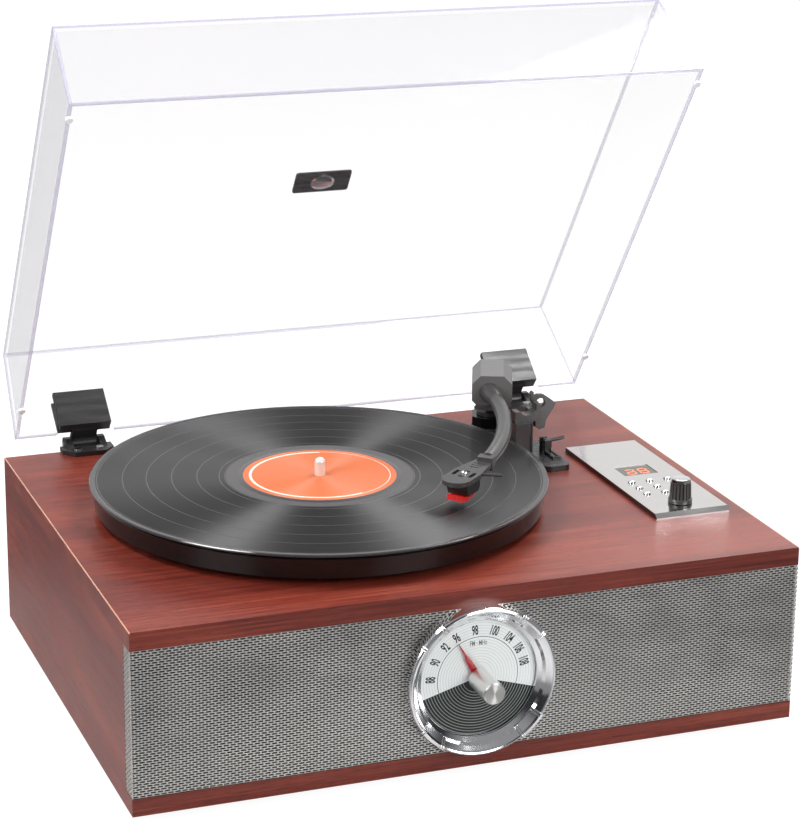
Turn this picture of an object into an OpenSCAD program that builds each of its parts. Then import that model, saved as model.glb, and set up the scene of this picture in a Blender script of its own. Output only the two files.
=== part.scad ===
// Stereo music centre: a veneered cabinet with a turntable, a tuner dial, a control panel
// and a hinged clear cover. Millimetres. The origin is the centre of the cabinet's underside,
// +X to the right, +Y to the rear and +Z up, with the cover open.

/* [Cabinet] */
// Width of the cabinet
cab_w = 438; // [425:1:460]
// Depth of the cabinet
cab_d = 335; // [325:1:360]
// Height of the cabinet without its feet
cab_h = 117.4; // [112:0.2:135]
// Thickness of the top board
top_t = 11.8; // [10:0.2:15]
// Thickness of the bottom board
bottom_t = 11.4; // [9:0.2:15]
// Thickness of each side panel
side_t = 12; // [10:0.5:16]
// Thickness of the rear panel
rear_t = 3; // [2:0.5:5]
// Distance of the rear panel from the back edges of the boards
rear_inset = 4; // [2:0.5:8]
// Width of the step that the rear panel is screwed to
rabbet_w = 6; // [5:0.5:7]
// Radius of a rubber foot
foot_r = 12; // [8:0.5:16]
// Height of a rubber foot
foot_h = 6; // [4:0.5:12]
// Distance of a foot's centre from the cabinet's edges
foot_inset = 30; // [20:1:50]

/* [Speaker grille] */
// Thickness of the perforated sheet
grille_t = 1; // [0.6:0.1:1.5]
// Depth of the grille's side returns
grille_return = 14; // [10:0.5:18]
// Distance between slots along a row
slot_pitch = 16.4; // [14:0.2:24]
// Distance between rows of slots
row_pitch = 7.2; // [6:0.2:12]
// Length of a slot
slot_l = 12; // [8:0.5:13]
// Width of a slot
slot_w = 3.8; // [2:0.1:5]

/* [Speakers] */
// Distance of each speaker from the middle
speaker_x = 140; // [110:1:150]
// Radius of a speaker's flange
speaker_r = 38; // [30:0.5:42]
// Depth of a speaker behind the baffle
speaker_depth = 32; // [26:1:45]

/* [Tuning dial] */
// Outer radius of the chrome bezel
bezel_r = 48.3; // [46:0.1:52]
// How far the bezel stands out of the front
bezel_h = 9; // [7:0.5:12]
// Radius of the dial face
face_r = 38.2; // [36:0.1:40]
// Radius of the tuning knob
knob_r = 7; // [6:0.1:9]
// How far the tuning knob stands out of the front
knob_reach = 27; // [20:0.5:32]
// Length of the pointer from its axis
pointer_l = 27.5; // [24:0.5:30]
// Angle of the pointer left of the vertical
pointer_turn = 29.5; // [0:0.5:60]

/* [Turntable] */
// Air between the record and the back of the closed cover
record_air = 0.8; // [0.5:0.1:6]
// Radius of the spindle
spindle_r = 3.55; // [3.5:0.05:3.6]
// Height of the spindle above the record
spindle_rise = 12; // [8:0.5:16]
// Radius of the record
record_r = 150.5; // [149:0.1:151]
// Thickness of the record
record_t = 1.8; // [1.4:0.1:2.4]
// Radius of the record's label
label_r = 50.5; // [49:0.5:52]
// Thickness of the slipmat
mat_t = 1; // [0.5:0.1:3]
// Radius of the platter at its top
platter_r = 148.5; // [146:0.5:149]
// Height of the platter
platter_h = 14; // [12:0.5:18]
// Air under the platter
platter_gap = 4; // [3.5:0.1:6]
// Radius of the platter's rim that the belt runs on
belt_rim_r = 60; // [50:0.5:80]
// Radius of the motor pulley
pulley_r = 6; // [5:0.5:8]
// Distance of the motor from the spindle
motor_far = 95; // [90:1:115]
// Radius of the drive motor
motor_r = 19; // [15:0.5:22]
// Height of the drive motor
motor_h = 24; // [18:1:30]

/* [Tonearm] */
// Pivot's distance outside the record, seen from the front
pivot_out = 5; // [4:0.5:9]
// Distance from the tonearm's base plate to the control panel
pad_to_panel = 12; // [6:0.5:16]
// Pivot's distance behind the spindle
pivot_dy = 82.5; // [70:0.5:90]
// Height of the arm's axis above the top board
arm_h = 44; // [42:0.5:50]
// Radius of the arm tube
arm_r = 5.2; // [4.5:0.1:5.6]
// Radius of the arm's curve
arm_bend = 225; // [200:5:300]
// Angle by which the arm slopes down to its headshell
arm_slope = 1.9; // [1.5:0.1:2.2]
// Length of the counterweight
weight_l = 42; // [30:1:43]
// Width of the counterweight
weight_w = 28; // [22:0.5:29]
// Height of the counterweight
weight_h = 24; // [20:0.5:26]
// Length of the headshell
shell_l = 51.5; // [46:0.5:56]
// Width of the headshell
shell_w = 19.6; // [17:0.2:22]
// Width of the pivot housing
housing_w = 27; // [24:0.5:30]
// Height of the pivot housing above the top board
housing_h = 22.4; // [18:0.2:26]
// Swing from the playing place to the rest
park_swing = 25.9; // [24:0.1:26.5]

/* [Control panel] */
// Width of the panel
panel_w = 53; // [48:0.5:58]
// Length of the panel
panel_l = 147.6; // [140:0.5:155]
// Thickness of the panel
panel_t = 3.2; // [2.4:0.1:5]
// Distance of the panel from the cabinet's right edge
panel_side = 11; // [10.8:0.2:13]
// Distance of the panel from the cabinet's front edge
panel_front = 75.9; // [70:0.5:85]
// Radius of a button
button_r = 2.4; // [2:0.1:3]
// Travel of a button
button_travel = 0.8; // [0.5:0.1:1]
// Radius of the volume knob at its base
volume_r = 7; // [6:0.1:9]
// Height of the volume knob
volume_h = 17; // [12:0.5:22]

/* [Dust cover] */
// Wall thickness of the cover
cover_t = 2.6; // [2:0.1:2.8]
// Height of the cover
cover_h = 71; // [68:1:90]
// Distance of the cover's rim from each side of the cabinet
cover_side = 7.8; // [5:0.2:8]
// Distance of the cover's rim from the front of the cabinet
cover_front = 2; // [0.5:0.5:8]
// Distance of the cover's rim from the back of the cabinet
cover_rear = 4.8; // [4:0.1:6]
// Slope of the cover's walls
cover_draft = 4.2; // [2:0.1:5]
// Angle by which the cover stands open
open_angle = 55.2; // [0:0.2:70]
// Width of the badge plate on the cover
badge_w = 40; // [30:1:60]
// Depth of the badge plate on the cover
badge_d = 19.5; // [15:0.5:30]

/* [Hinges] */
// Distance of each hinge's middle from the side of the cabinet
hinge_in = 57.7; // [40:0.1:90]
// Distance of the hinge pins behind the cabinet
hinge_back = 7.1; // [6.5:0.1:9]
// Height of the hinge pins above the top board
hinge_up = 2.8; // [2:0.1:4]
// Width of a hinge
hinge_w = 36; // [34:0.5:44]
// Height of the leaf that grips the cover
leaf_h = 28; // [20:0.5:36]
// Radius of a hinge pin
pin_r = 2; // [1.5:0.1:2.5]

/* [Fits] */
// Gap between pieces that are placed side by side
fit = 0.3; // [0.2:0.05:0.4]
// Radial clearance of a turning shaft
run = 0.05; // [0.03:0.01:0.08]

/* [Hidden] */
$fn = 64;

wood = [0.48, 0.20, 0.16];
black = [0.10, 0.10, 0.11];
dark_grey = [0.27, 0.27, 0.28];
chrome = [0.85, 0.86, 0.88];
silver = [0.78, 0.77, 0.75];
board_green = [0.10, 0.32, 0.18];

front_y = -cab_d / 2;
back_y = cab_d / 2;
inside_h = cab_h - top_t - bottom_t;
foot_seat = 1;
dial_z = cab_h / 2;
through = 1;

// grille and baffle
baffle_t = grille_return - grille_t - fit;
cup_r = face_r + 1.8;

// turntable heights above the top board
platter_top = platter_gap + platter_h;
mat_top = platter_top + mat_t;
record_top = mat_top + record_t;
groove_dip = 0.3;
bush_r = 9;
bush_flange_r = 16;
bush_depth = 22;
rim_z = cab_h + 2.3;
rim_rear = back_y - cover_rear;
panel_x = cab_w / 2 - panel_side - panel_w / 2;
pad_right = 31;
pivot_x = panel_x - panel_w / 2 - pad_to_panel - pad_right;
pivot_dx = max(record_r, platter_r + 2) + pivot_out;
spindle_x = pivot_x - pivot_dx;
cover_lean_at_record = (cab_h + record_top - rim_z) * tan(cover_draft);
spindle_y = rim_rear - cover_t - cover_lean_at_record - record_air - record_r;
motor_turn = 135;
motor_x = spindle_x + motor_far * cos(motor_turn);
motor_y = spindle_y + motor_far * sin(motor_turn);
belt_t = 0.8;
belt_low = platter_gap + 2;
belt_w = 5;
motor_flange_r = motor_r + 7;
motor_shaft_r = 1.5;

// tonearm, seen from the pivot with the arm's axis along its own X
pivot_y = spindle_y + pivot_dy;
arm_turn = -112;
tube_crown = 85;
tube_bow = 8;
tube_end = 155;
tube_start = weight_l / 2;
curve_y = tube_bow - arm_bend;
angle_start = 90 + asin((tube_crown - tube_start) / arm_bend);
angle_end = 90 - asin((tube_end - tube_crown) / arm_bend);
tube_end_y = curve_y + arm_bend * sin(angle_end);
shell_turn = -28;
shell_t = 3;
shell_neck_l = 7;
stylus_far = 33.7;
base_t = 4;
pad_t = 5.6;
pad_left = 11.8;
pad_front = -71.6;
pad_rear = -15;
pad_corner = 5;
stub_r = 8;
skirt_r = 21.5;
skirt_h = 15;
tower_top = 30;
tower_left = -3;
tower_right = 11;
tower_front = -52.5;
tower_rear = -32;
post_r = 5;
tongue_w = 8;
tongue_l = 10;
arm_pin_r = 1.5;
arm_pin_l = 22;
lift_r = 29;
lift_turn = -95;
lift_from = -135;
lift_to = -86;
lift_rod_r = 3;
lift_top = arm_h - 7.3;
lift_bar_t = 2.5;
rest_x = 7.3;
rest_y = -44;
rest_floor = arm_h - 9.5;
rest_gap = 6.4;
rest_wall = 2.9;
clip_x = 20.5;
clip_y = -38;
clip_z = 27;
clip_t = 3;
clip_pin_r = 1.2;
lever_x = 25;
lever_y = -39.5;
lever_z = 11.5;

// control panel
panel_y = front_y + panel_front;
window_w = 25;
window_l = 19;
window_y = panel_y + 77.6;
window_x = panel_x - 0.7;
button_step = 13.2;
button_row = 12;
buttons_y = panel_y + 64.3;
buttons_x = panel_x - 14.4;
well_edge = 4;
board_t = 1.6;
board_low = -5;
volume_x = panel_x - 0.5;
volume_y = panel_y + 18.8;
volume_stem_r = 3;
boss_r = 2;

// dust cover in its closed place
hinge_y = back_y + hinge_back;
hinge_z = cab_h + hinge_up;
hinge_x = cab_w / 2 - hinge_in;
rim_front = front_y + cover_front;
rim_half = cab_w / 2 - cover_side;
notch_h = 6.4;
notch_w = hinge_w + 4;
leaf_low = 3.1;
leaf_floor = 3;
leaf_front_t = 4;
leaf_back_t = 2.2;
knuckle_r = 4.6;
knuckle_half = 9;
cheek_t = 4.7;
hinge_plate_t = 3.3;
hinge_plate_front = 14.9;
screw_r = 1.5;
screw_head_r = 2.8;
screw_head_h = 0.9;
screw_l = 9;
hinge_screw_x = 7.6;
hinge_screw_y = 8;

// ---------- places ----------
module on_top(x, y, z = 0) translate([x, y, cab_h + z]) children();
module on_front(x, z) translate([x, front_y, z]) rotate([90, 0, 0]) children();
module on_arm() on_top(pivot_x, pivot_y) rotate([0, 0, arm_turn]) children();
module sloped() translate([tube_start, 0, arm_h]) rotate([0, arm_slope, 0])
    translate([-tube_start, 0, 0]) children();
module on_shell() on_arm() sloped() translate([tube_end, tube_end_y, 0])
    rotate([0, 0, shell_turn]) children();
module at_rest_post() on_top(pivot_x, pivot_y) rotate([0, 0, rest_turn])
    translate([rest_r, 0, 0]) children();
module opened() translate([0, hinge_y, hinge_z]) rotate([-open_angle, 0, 0])
    translate([0, -hinge_y, -hinge_z]) children();
module both_sides() for (side = [-1, 1]) scale([side, 1, 1]) children();

module block(low, high) translate(low) cube(high - low);
module ring(outer, inner, height) difference() {
    cylinder(r = outer, h = height);
    translate([0, 0, -through]) cylinder(r = inner, h = height + 2 * through);
}
module stadium(length, width) {
    translate([-(length - width) / 2, -width / 2]) square([length - width, width]);
    for (side = [-1, 1]) translate([side * (length - width) / 2, 0]) circle(d = width);
}
module wood_screw() {
    cylinder(r = screw_head_r, h = screw_head_h);
    translate([0, 0, -screw_l]) cylinder(r = screw_r, h = screw_l);
}
module pilot_hole() translate([0, 0, -screw_l - fit]) cylinder(r = screw_r + run, h = screw_l + 1);
module at_hinge_screws() for (side = [-1, 1], step = [-1, 1])
    on_top(side * hinge_x + step * hinge_screw_x, back_y - hinge_screw_y, hinge_plate_t)
        children();
module at_rear_screws() for (side = [-1, 1], z = [bottom_t + 12, cab_h - top_t - 12])
    translate([side * (cab_w / 2 - side_t + rabbet_w / 2), back_y - rear_inset, z])
        rotate([-90, 0, 0]) children();

// ---------- cabinet ----------
module top_board() color(wood) difference() {
    block([-cab_w / 2, front_y, cab_h - top_t], [cab_w / 2, back_y, cab_h]);
    on_top(spindle_x, spindle_y, -top_t - through)
        cylinder(r = bush_r + fit, h = top_t + 2 * through);
    on_top(motor_x, motor_y, -top_t - through)
        cylinder(r = pulley_r + 3, h = top_t + 2 * through);
    on_top(pivot_x, pivot_y, -top_t - through)
        cylinder(r = stub_r + fit, h = top_t + 2 * through);
    block([panel_x - panel_w / 2 + well_edge, panel_y + well_edge + 3, cab_h - top_t - through],
        [panel_x + panel_w / 2 - well_edge, panel_y + panel_l - well_edge, cab_h + through]);
    at_hinge_screws() pilot_hole();
}

module at_feet() for (side = [-1, 1], end = [-1, 1])
    translate([side * (cab_w / 2 - foot_inset), end * (cab_d / 2 - foot_inset), 0]) children();
module bottom_board() color(wood) difference() {
    block([-cab_w / 2, front_y, 0], [cab_w / 2, back_y, bottom_t]);
    at_feet() translate([0, 0, -through]) cylinder(r = foot_r + fit, h = foot_seat + through);
}

module side_panel(side) color(wood) scale([side, 1, 1]) difference() {
    block([cab_w / 2 - side_t, front_y + grille_return, bottom_t],
        [cab_w / 2, back_y, cab_h - top_t]);
    block([cab_w / 2 - side_t - through, back_y - rear_inset - rear_t, bottom_t - through],
        [cab_w / 2 - side_t + rabbet_w, back_y + through, cab_h]);
    at_rear_screws() pilot_hole();
}
module left_side_panel() side_panel(-1);
module right_side_panel() side_panel(1);

socket_x = -cab_w / 2 + 90;
socket_z = bottom_t + 28;
socket_step = 14;
inlet_x = socket_x + 55;
inlet_r = 5.5;
module rear_panel() color(black) difference() {
    block([-cab_w / 2 + side_t - rabbet_w + fit, back_y - rear_inset - rear_t, bottom_t],
        [cab_w / 2 - side_t + rabbet_w - fit, back_y - rear_inset, cab_h - top_t]);
    translate([inlet_x, back_y, socket_z]) rotate([90, 0, 0])
        cylinder(r = inlet_r + run, h = 3 * rear_inset + rear_t);
    for (step = [-1, 1]) translate([socket_x + step * socket_step / 2, back_y, socket_z])
        rotate([90, 0, 0]) cylinder(r = 4.5, h = 3 * rear_inset + rear_t);
    at_rear_screws() pilot_hole();
}

jack_r = 4.15;
jack_l = 9;
module rear_sockets() color(dark_grey) translate([0, back_y - rear_inset, socket_z])
    rotate([-90, 0, 0]) {
        difference() {
            union() {
                for (step = [-1, 1]) translate([socket_x + step * socket_step / 2, 0, 0])
                    {
                        translate([0, 0, -rear_t - 3]) cylinder(r = jack_r + 0.2, h = rear_t + 3);
                        cylinder(r = jack_r, h = jack_l);
                    }
                translate([inlet_x, 0, -rear_t - 3]) cylinder(r = inlet_r, h = rear_t + 4);
                translate([(socket_x + inlet_x) / 2, 0, -rear_t - 6]) linear_extrude(6)
                    square([inlet_x - socket_x + socket_step + 14, 14], center = true);
            }
            for (step = [-1, 1]) translate([socket_x + step * socket_step / 2, 0, -rear_t])
                cylinder(r = 2.6, h = rear_t + jack_l + through);
            translate([inlet_x, 0, -8]) ring(3.2, 1, 12);
        }
    }

module front_baffle() color("#4a4038") difference() {
    block([-cab_w / 2 + grille_t + fit, front_y + grille_t + fit, bottom_t],
        [cab_w / 2 - grille_t - fit, front_y + grille_return, cab_h - top_t]);
    on_front(0, dial_z) translate([0, 0, -grille_return - through])
        cylinder(r = cup_r + fit, h = grille_return + through);
    for (side = [-1, 1]) on_front(side * speaker_x, dial_z)
        translate([0, 0, -grille_return - through])
            cylinder(r = speaker_r - 5, h = grille_return + through);
}

// ---------- speaker grille ----------
module grille_slots(width, height) {
    columns = floor((width / 2 - slot_pitch) / slot_pitch);
    rows = floor((height / 2 - row_pitch / 2) / row_pitch);
    for (row = [-rows : rows], column = [-columns : columns]) {
        shift = row % 2 == 0 ? 0 : slot_pitch / 2;
        translate([column * slot_pitch + shift, row * row_pitch]) stadium(slot_l, slot_w);
    }
}
module speaker_grille() color(silver) {
    sheet_h = inside_h - 2 * fit;
    difference() {
        union() {
            on_front(0, dial_z) translate([0, 0, -grille_t]) linear_extrude(grille_t)
                difference() {
                    square([cab_w, sheet_h], center = true);
                    circle(r = cup_r + fit);
                    grille_slots(cab_w, sheet_h);
                }
            for (side = [-1, 1]) block(
                [side * cab_w / 2 - (side + 1) / 2 * grille_t, front_y, dial_z - sheet_h / 2],
                [side * cab_w / 2 - (side - 1) / 2 * grille_t, front_y + grille_return - fit,
                    dial_z + sheet_h / 2]);
        }
        rows = floor((sheet_h / 2 - row_pitch / 2) / row_pitch);
        for (row = [-rows : rows]) translate([0, front_y + grille_return / 2,
            dial_z + row * row_pitch]) rotate([0, 90, 0])
                linear_extrude(cab_w + 2 * through, center = true) rotate(90)
                    stadium(slot_l * 0.6, slot_w);
    }
}

module speaker() {
    seat = -grille_return;
    cone_r = speaker_r - 4;
    magnet_r = speaker_r - 15;
    rotate_extrude() polygon([[0, seat - 14], [8, seat - 12], [cone_r - 2, seat - 1],
        [cone_r - 1, seat], [speaker_r, seat], [speaker_r, seat - 3], [cone_r, seat - 3],
        [magnet_r - 3, seat - speaker_depth + 12], [magnet_r, seat - speaker_depth + 11],
        [magnet_r, seat - speaker_depth], [0, seat - speaker_depth]]);
}
module left_speaker() color(black) on_front(-speaker_x, dial_z) speaker();
module right_speaker() color(black) on_front(speaker_x, dial_z) speaker();

// ---------- tuning dial ----------
clamp_span = 23;
ledge_z = -1;
face_t = 0.9;
module dial_bezel() color(chrome) on_front(0, dial_z) {
    rotate_extrude() polygon([[cup_r, -grille_return - 2], [face_r - 1.4, -grille_return - 2],
        [face_r - 1.4, ledge_z - face_t], [face_r + 0.3, ledge_z - face_t],
        [face_r + 0.3, 2], [cup_r + 1.2, 4], [bezel_r - 5.6, bezel_h - 3],
        [bezel_r - 3.2, bezel_h - 1.2], [bezel_r - 2.2, bezel_h - 0.3],
        [bezel_r - 1.4, bezel_h], [bezel_r - 0.5, bezel_h - 0.4], [bezel_r, bezel_h - 1.2],
        [bezel_r, 0], [cup_r, 0]]);
    for (quarter = [0 : 3]) rotate(45 + 90 * quarter - clamp_span / 2) rotate_extrude(
        angle = clamp_span) polygon([[cup_r + 1, 3], [cup_r + 1, 5.2],
            [bezel_r - 3.2, bezel_h], [bezel_r - 2, bezel_h + 0.8],
            [bezel_r, bezel_h + 0.4], [bezel_r + 0.7, bezel_h - 1], [bezel_r + 0.7, 1.5],
            [bezel_r - 2, 1.5], [bezel_r - 5, 3]]);
}

module dial_face() color("white") on_front(0, dial_z) translate([0, 0, ledge_z - face_t])
    ring(face_r, 4.5, face_t);

lens_bow = 260;
module dial_lens() color([0.9, 0.95, 1, 0.3]) on_front(0, dial_z) rotate_extrude()
    intersection() {
        translate([0, 3.9 - lens_bow]) difference() {
            circle(r = lens_bow, $fn = 400);
            circle(r = lens_bow - 1.2, $fn = 400);
        }
        translate([knob_r + 0.6, 0]) square([face_r - knob_r - 0.6, 10]);
    }

module dial_pointer() color([0.7, 0.08, 0.07]) on_front(0, dial_z) rotate(pointer_turn)
    translate([0, 0, 0.2]) linear_extrude(0.8) difference() {
        union() {
            circle(r = 4);
            polygon([[-2, 0], [2, 0], [2, 8], [1.8, 14], [0.7, 18.5], [0.6, 20],
                [0.2, pointer_l], [-0.2, pointer_l], [-0.6, 20], [-0.7, 18.5], [-1.8, 14],
                [-2, 8]]);
        }
        circle(r = volume_stem_r + run);
    }

tuner_shaft_r = 3;
tuner_t = 13;
module tuning_shaft() color(silver) on_front(0, dial_z)
    translate([0, 0, -grille_return - 11]) cylinder(r = tuner_shaft_r,
        h = grille_return + 11 + knob_reach - 3);

module tuning_knob() color(silver) on_front(0, dial_z) difference() {
    rotate_extrude() polygon([[0, 1.4], [4.6, 1.4], [4.6, 1.8], [knob_r, 1.8],
        [knob_r, knob_reach - 0.7], [knob_r - 0.7, knob_reach], [0, knob_reach]]);
    cylinder(r = tuner_shaft_r + run, h = knob_reach - 2.8);
}

module tuning_capacitor() color(dark_grey) on_front(0, dial_z) difference() {
    union() {
        translate([0, 0, -grille_return - 2 - tuner_t / 2]) cube([40, 40, tuner_t], center = true);
        translate([0, 0, -grille_return - 2.5]) cylinder(r = 6, h = 8);
    }
    translate([0, 0, -grille_return - 11 - fit]) cylinder(r = tuner_shaft_r + run, h = 30);
}

// ---------- control panel ----------
function button_place(column, row) =
    [buttons_x + column * button_step, buttons_y - row * button_row];
module button_holes(radius) {
    for (place = [[0, 0], [1, 0], [2, 0], [0, 1], [1, 1], [0, 2], [1, 2]])
        translate(button_place(place[0], place[1])) circle(r = radius);
}
module control_panel() color(silver) on_top(0, 0) {
    half = panel_w / 2;
    difference() {
        translate([panel_x - half, 0, 0]) rotate([90, 0, 90]) linear_extrude(panel_w)
            polygon([[panel_y, 0], [panel_y + panel_l, 0], [panel_y + panel_l, panel_t - 0.4],
                [panel_y + panel_l - 0.4, panel_t], [panel_y + 3.1, panel_t],
                [panel_y, 0.6]]);
        translate([0, 0, -through]) linear_extrude(panel_t + 2 * through) {
            button_holes(button_r + fit);
            translate([window_x - window_w / 2, window_y]) square([window_w, window_l]);
            translate([volume_x, volume_y]) circle(r = volume_stem_r + fit);
        }
    }
    for (side = [-1, 1], y = [panel_y + 14, panel_y + panel_l - 12])
        translate([panel_x + side * (half - 9), y, board_low + board_t])
            cylinder(r = boss_r, h = -board_low - board_t);
}

module display_window() color([0.15, 0.14, 0.12]) on_top(0, 0, 0)
    block([window_x - window_w / 2 + fit, window_y + fit, board_low + board_t],
        [window_x + window_w / 2 - fit, window_y + window_l - fit, panel_t - 0.3]);

module control_board() color(board_green) on_top(0, 0, board_low) difference() {
    block([panel_x - panel_w / 2 + well_edge + 1, panel_y + well_edge + 4, 0],
        [panel_x + panel_w / 2 - well_edge - 1, panel_y + panel_l - well_edge - 1, board_t]);
    translate([volume_x, volume_y, -through]) cylinder(r = volume_stem_r + 1, h = 4);
}

pot_h = 9;
module volume_control() color(dark_grey) on_top(volume_x, volume_y, board_low) difference() {
    union() {
        translate([-8.5, -8.5, -pot_h]) cube([17, 17, pot_h]);
        cylinder(r = volume_stem_r + 1 - run, h = board_t + 1);
    }
    translate([0, 0, -pot_h + 2]) cylinder(r = volume_stem_r + run, h = pot_h + board_t + 2);
}

flutes = 18;
module volume_knob() color(dark_grey) on_top(volume_x, volume_y, panel_t) {
    foot = 0.4;
    difference() {
        rotate_extrude() polygon([[0, foot], [volume_r, foot], [volume_r, foot + 2],
            [volume_r - 0.5, foot + 3], [volume_r - 0.9, foot + 3.2],
            [volume_r - 1.1, volume_h * 0.6], [volume_r - 1.7, volume_h - 1.4],
            [volume_r - 2.4, volume_h - 0.4], [volume_r - 3.4, volume_h], [0, volume_h]]);
        for (flute = [0 : flutes - 1]) rotate(flute * 360 / flutes)
            translate([volume_r - 0.4, 0, foot + 4.2]) cylinder(r = 0.8, h = volume_h - 6.4,
                $fn = 24);
    }
    stem_low = board_low - panel_t - pot_h + 3;
    translate([0, 0, stem_low]) cylinder(r = volume_stem_r, h = foot - stem_low);
}

module button(column, row) color(chrome) translate(button_place(column, row)) on_top(0, 0)
    rotate_extrude() polygon([[0, -1.6], [button_r + 0.8, -1.6], [button_r + 0.8, -fit],
        [button_r, -fit], [button_r, panel_t + 0.8], [button_r - 0.4, panel_t + 1.2],
        [button_r - 1.2, panel_t + 1.4], [0, panel_t + 1.4]]);
module mode_button() button(0, 0);
module previous_button() button(1, 0);
module next_button() button(2, 0);
module play_button() button(0, 1);
module stop_button() button(1, 1);
module record_button() button(0, 2);
module delete_button() button(1, 2);

// ---------- inside the cabinet ----------
module main_board() color(board_green) translate([-40, 40, bottom_t]) {
    for (x = [5, 105], y = [5, 65]) translate([x, y, 0]) cylinder(r = 3, h = 8);
    translate([0, 0, 8]) cube([110, 70, board_t]);
    translate([12, 50, 8 + board_t]) cube([60, 10, 24]);
    for (x = [20, 40]) translate([x, 25, 8 + board_t]) cylinder(r = 8, h = 22);
    translate([64, 14, 8 + board_t]) cube([28, 22, 14]);
}

module rubber_feet() color(black) at_feet() {
    translate([0, 0, -foot_h]) cylinder(r1 = foot_r - 1.2, r2 = foot_r, h = foot_h);
    cylinder(r = foot_r, h = foot_seat);
}

module wood_screws() color(silver) {
    at_hinge_screws() wood_screw();
    at_rear_screws() wood_screw();
}

// ---------- turntable ----------
module platter_bearing() color(silver) on_top(spindle_x, spindle_y) difference() {
    union() {
        cylinder(r = bush_flange_r, h = platter_gap - fit);
        translate([0, 0, -bush_depth]) cylinder(r = bush_r, h = bush_depth);
    }
    translate([0, 0, -bush_depth + 3]) cylinder(r = spindle_r + run, h = bush_depth + 10);
}

module platter() color(black) on_top(spindle_x, spindle_y, platter_gap) difference() {
    union() {
        rotate_extrude() polygon([[0, platter_h - 3], [platter_r - 7, platter_h - 3],
            [platter_r - 8, 0], [platter_r - 2, 0], [platter_r - 1.2, 0.8],
            [platter_r, platter_h - 1], [platter_r - 0.8, platter_h], [0, platter_h]]);
        cylinder(r = 13, h = platter_h - 1);
        translate([0, 0, 1.5]) ring(belt_rim_r, belt_rim_r - 3, platter_h - 3);
        for (rib = [0 : 5]) rotate(rib * 60) translate([12, -1.2, 4])
            cube([belt_rim_r - 14, 2.4, platter_h - 6]);
    }
    translate([0, 0, -through]) cylinder(r = spindle_r + run, h = platter_h + 2 * through);
}

module slipmat() color([0.16, 0.16, 0.17]) on_top(spindle_x, spindle_y, platter_top)
    ring(platter_r - 3, spindle_r + 0.2, mat_t);

module record() color(black) on_top(spindle_x, spindle_y, mat_top) difference() {
    rotate_extrude() polygon([[0, 0], [label_r + 1, 0], [label_r + 4, groove_dip],
        [record_r - 4, groove_dip], [record_r - 2, 0], [record_r - 0.6, 0],
        [record_r, 0.5], [record_r, record_t - 0.5], [record_r - 0.6, record_t],
        [record_r - 2, record_t], [record_r - 4, record_t - groove_dip],
        [label_r + 4, record_t - groove_dip], [label_r + 1, record_t], [0, record_t]]);
    translate([0, 0, -through]) cylinder(r = spindle_r + run, h = record_t + 2 * through);
}

module spindle() color(chrome) on_top(spindle_x, spindle_y) {
    low = -bush_depth + 3 + fit;
    high = record_top + spindle_rise - spindle_r;
    translate([0, 0, low]) cylinder(r = spindle_r, h = high - low);
    translate([0, 0, high]) sphere(r = spindle_r);
}

module drive_motor() color(silver) on_top(motor_x, motor_y, -top_t) difference() {
    union() {
        translate([0, 0, -motor_h]) cylinder(r = motor_r, h = motor_h);
        translate([0, 0, -2]) cylinder(r = motor_flange_r, h = 2);
    }
    translate([0, 0, -motor_h + 4]) cylinder(r = motor_shaft_r + run, h = motor_h);
}

module motor_pulley() color("goldenrod") on_top(motor_x, motor_y) {
    translate([0, 0, -top_t - motor_h + 5]) cylinder(r = motor_shaft_r,
        h = top_t + motor_h - 5 + belt_low);
    translate([0, 0, belt_low - 1]) cylinder(r = pulley_r, h = belt_w + 2);
    translate([0, 0, belt_low - 2]) cylinder(r = pulley_r + 1, h = 1);
}

module drive_belt() color([0.2, 0.2, 0.2]) on_top(spindle_x, spindle_y, belt_low)
    rotate([0, 0, motor_turn]) {
        rim = belt_rim_r + fit;
        wheel = pulley_r + fit;
        lean = acos((rim - wheel) / motor_far);
        rotate([0, 0, lean]) rotate_extrude(angle = 360 - 2 * lean) translate([rim, 0])
            square([belt_t, belt_w]);
        translate([motor_far, 0, 0]) rotate([0, 0, -lean]) rotate_extrude(angle = 2 * lean)
            translate([wheel, 0]) square([belt_t, belt_w]);
        for (side = [0, 1]) mirror([0, side, 0]) rotate([0, 0, lean])
            translate([rim, -motor_far * sin(lean), 0])
                cube([belt_t, motor_far * sin(lean), belt_w]);
    }

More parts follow.
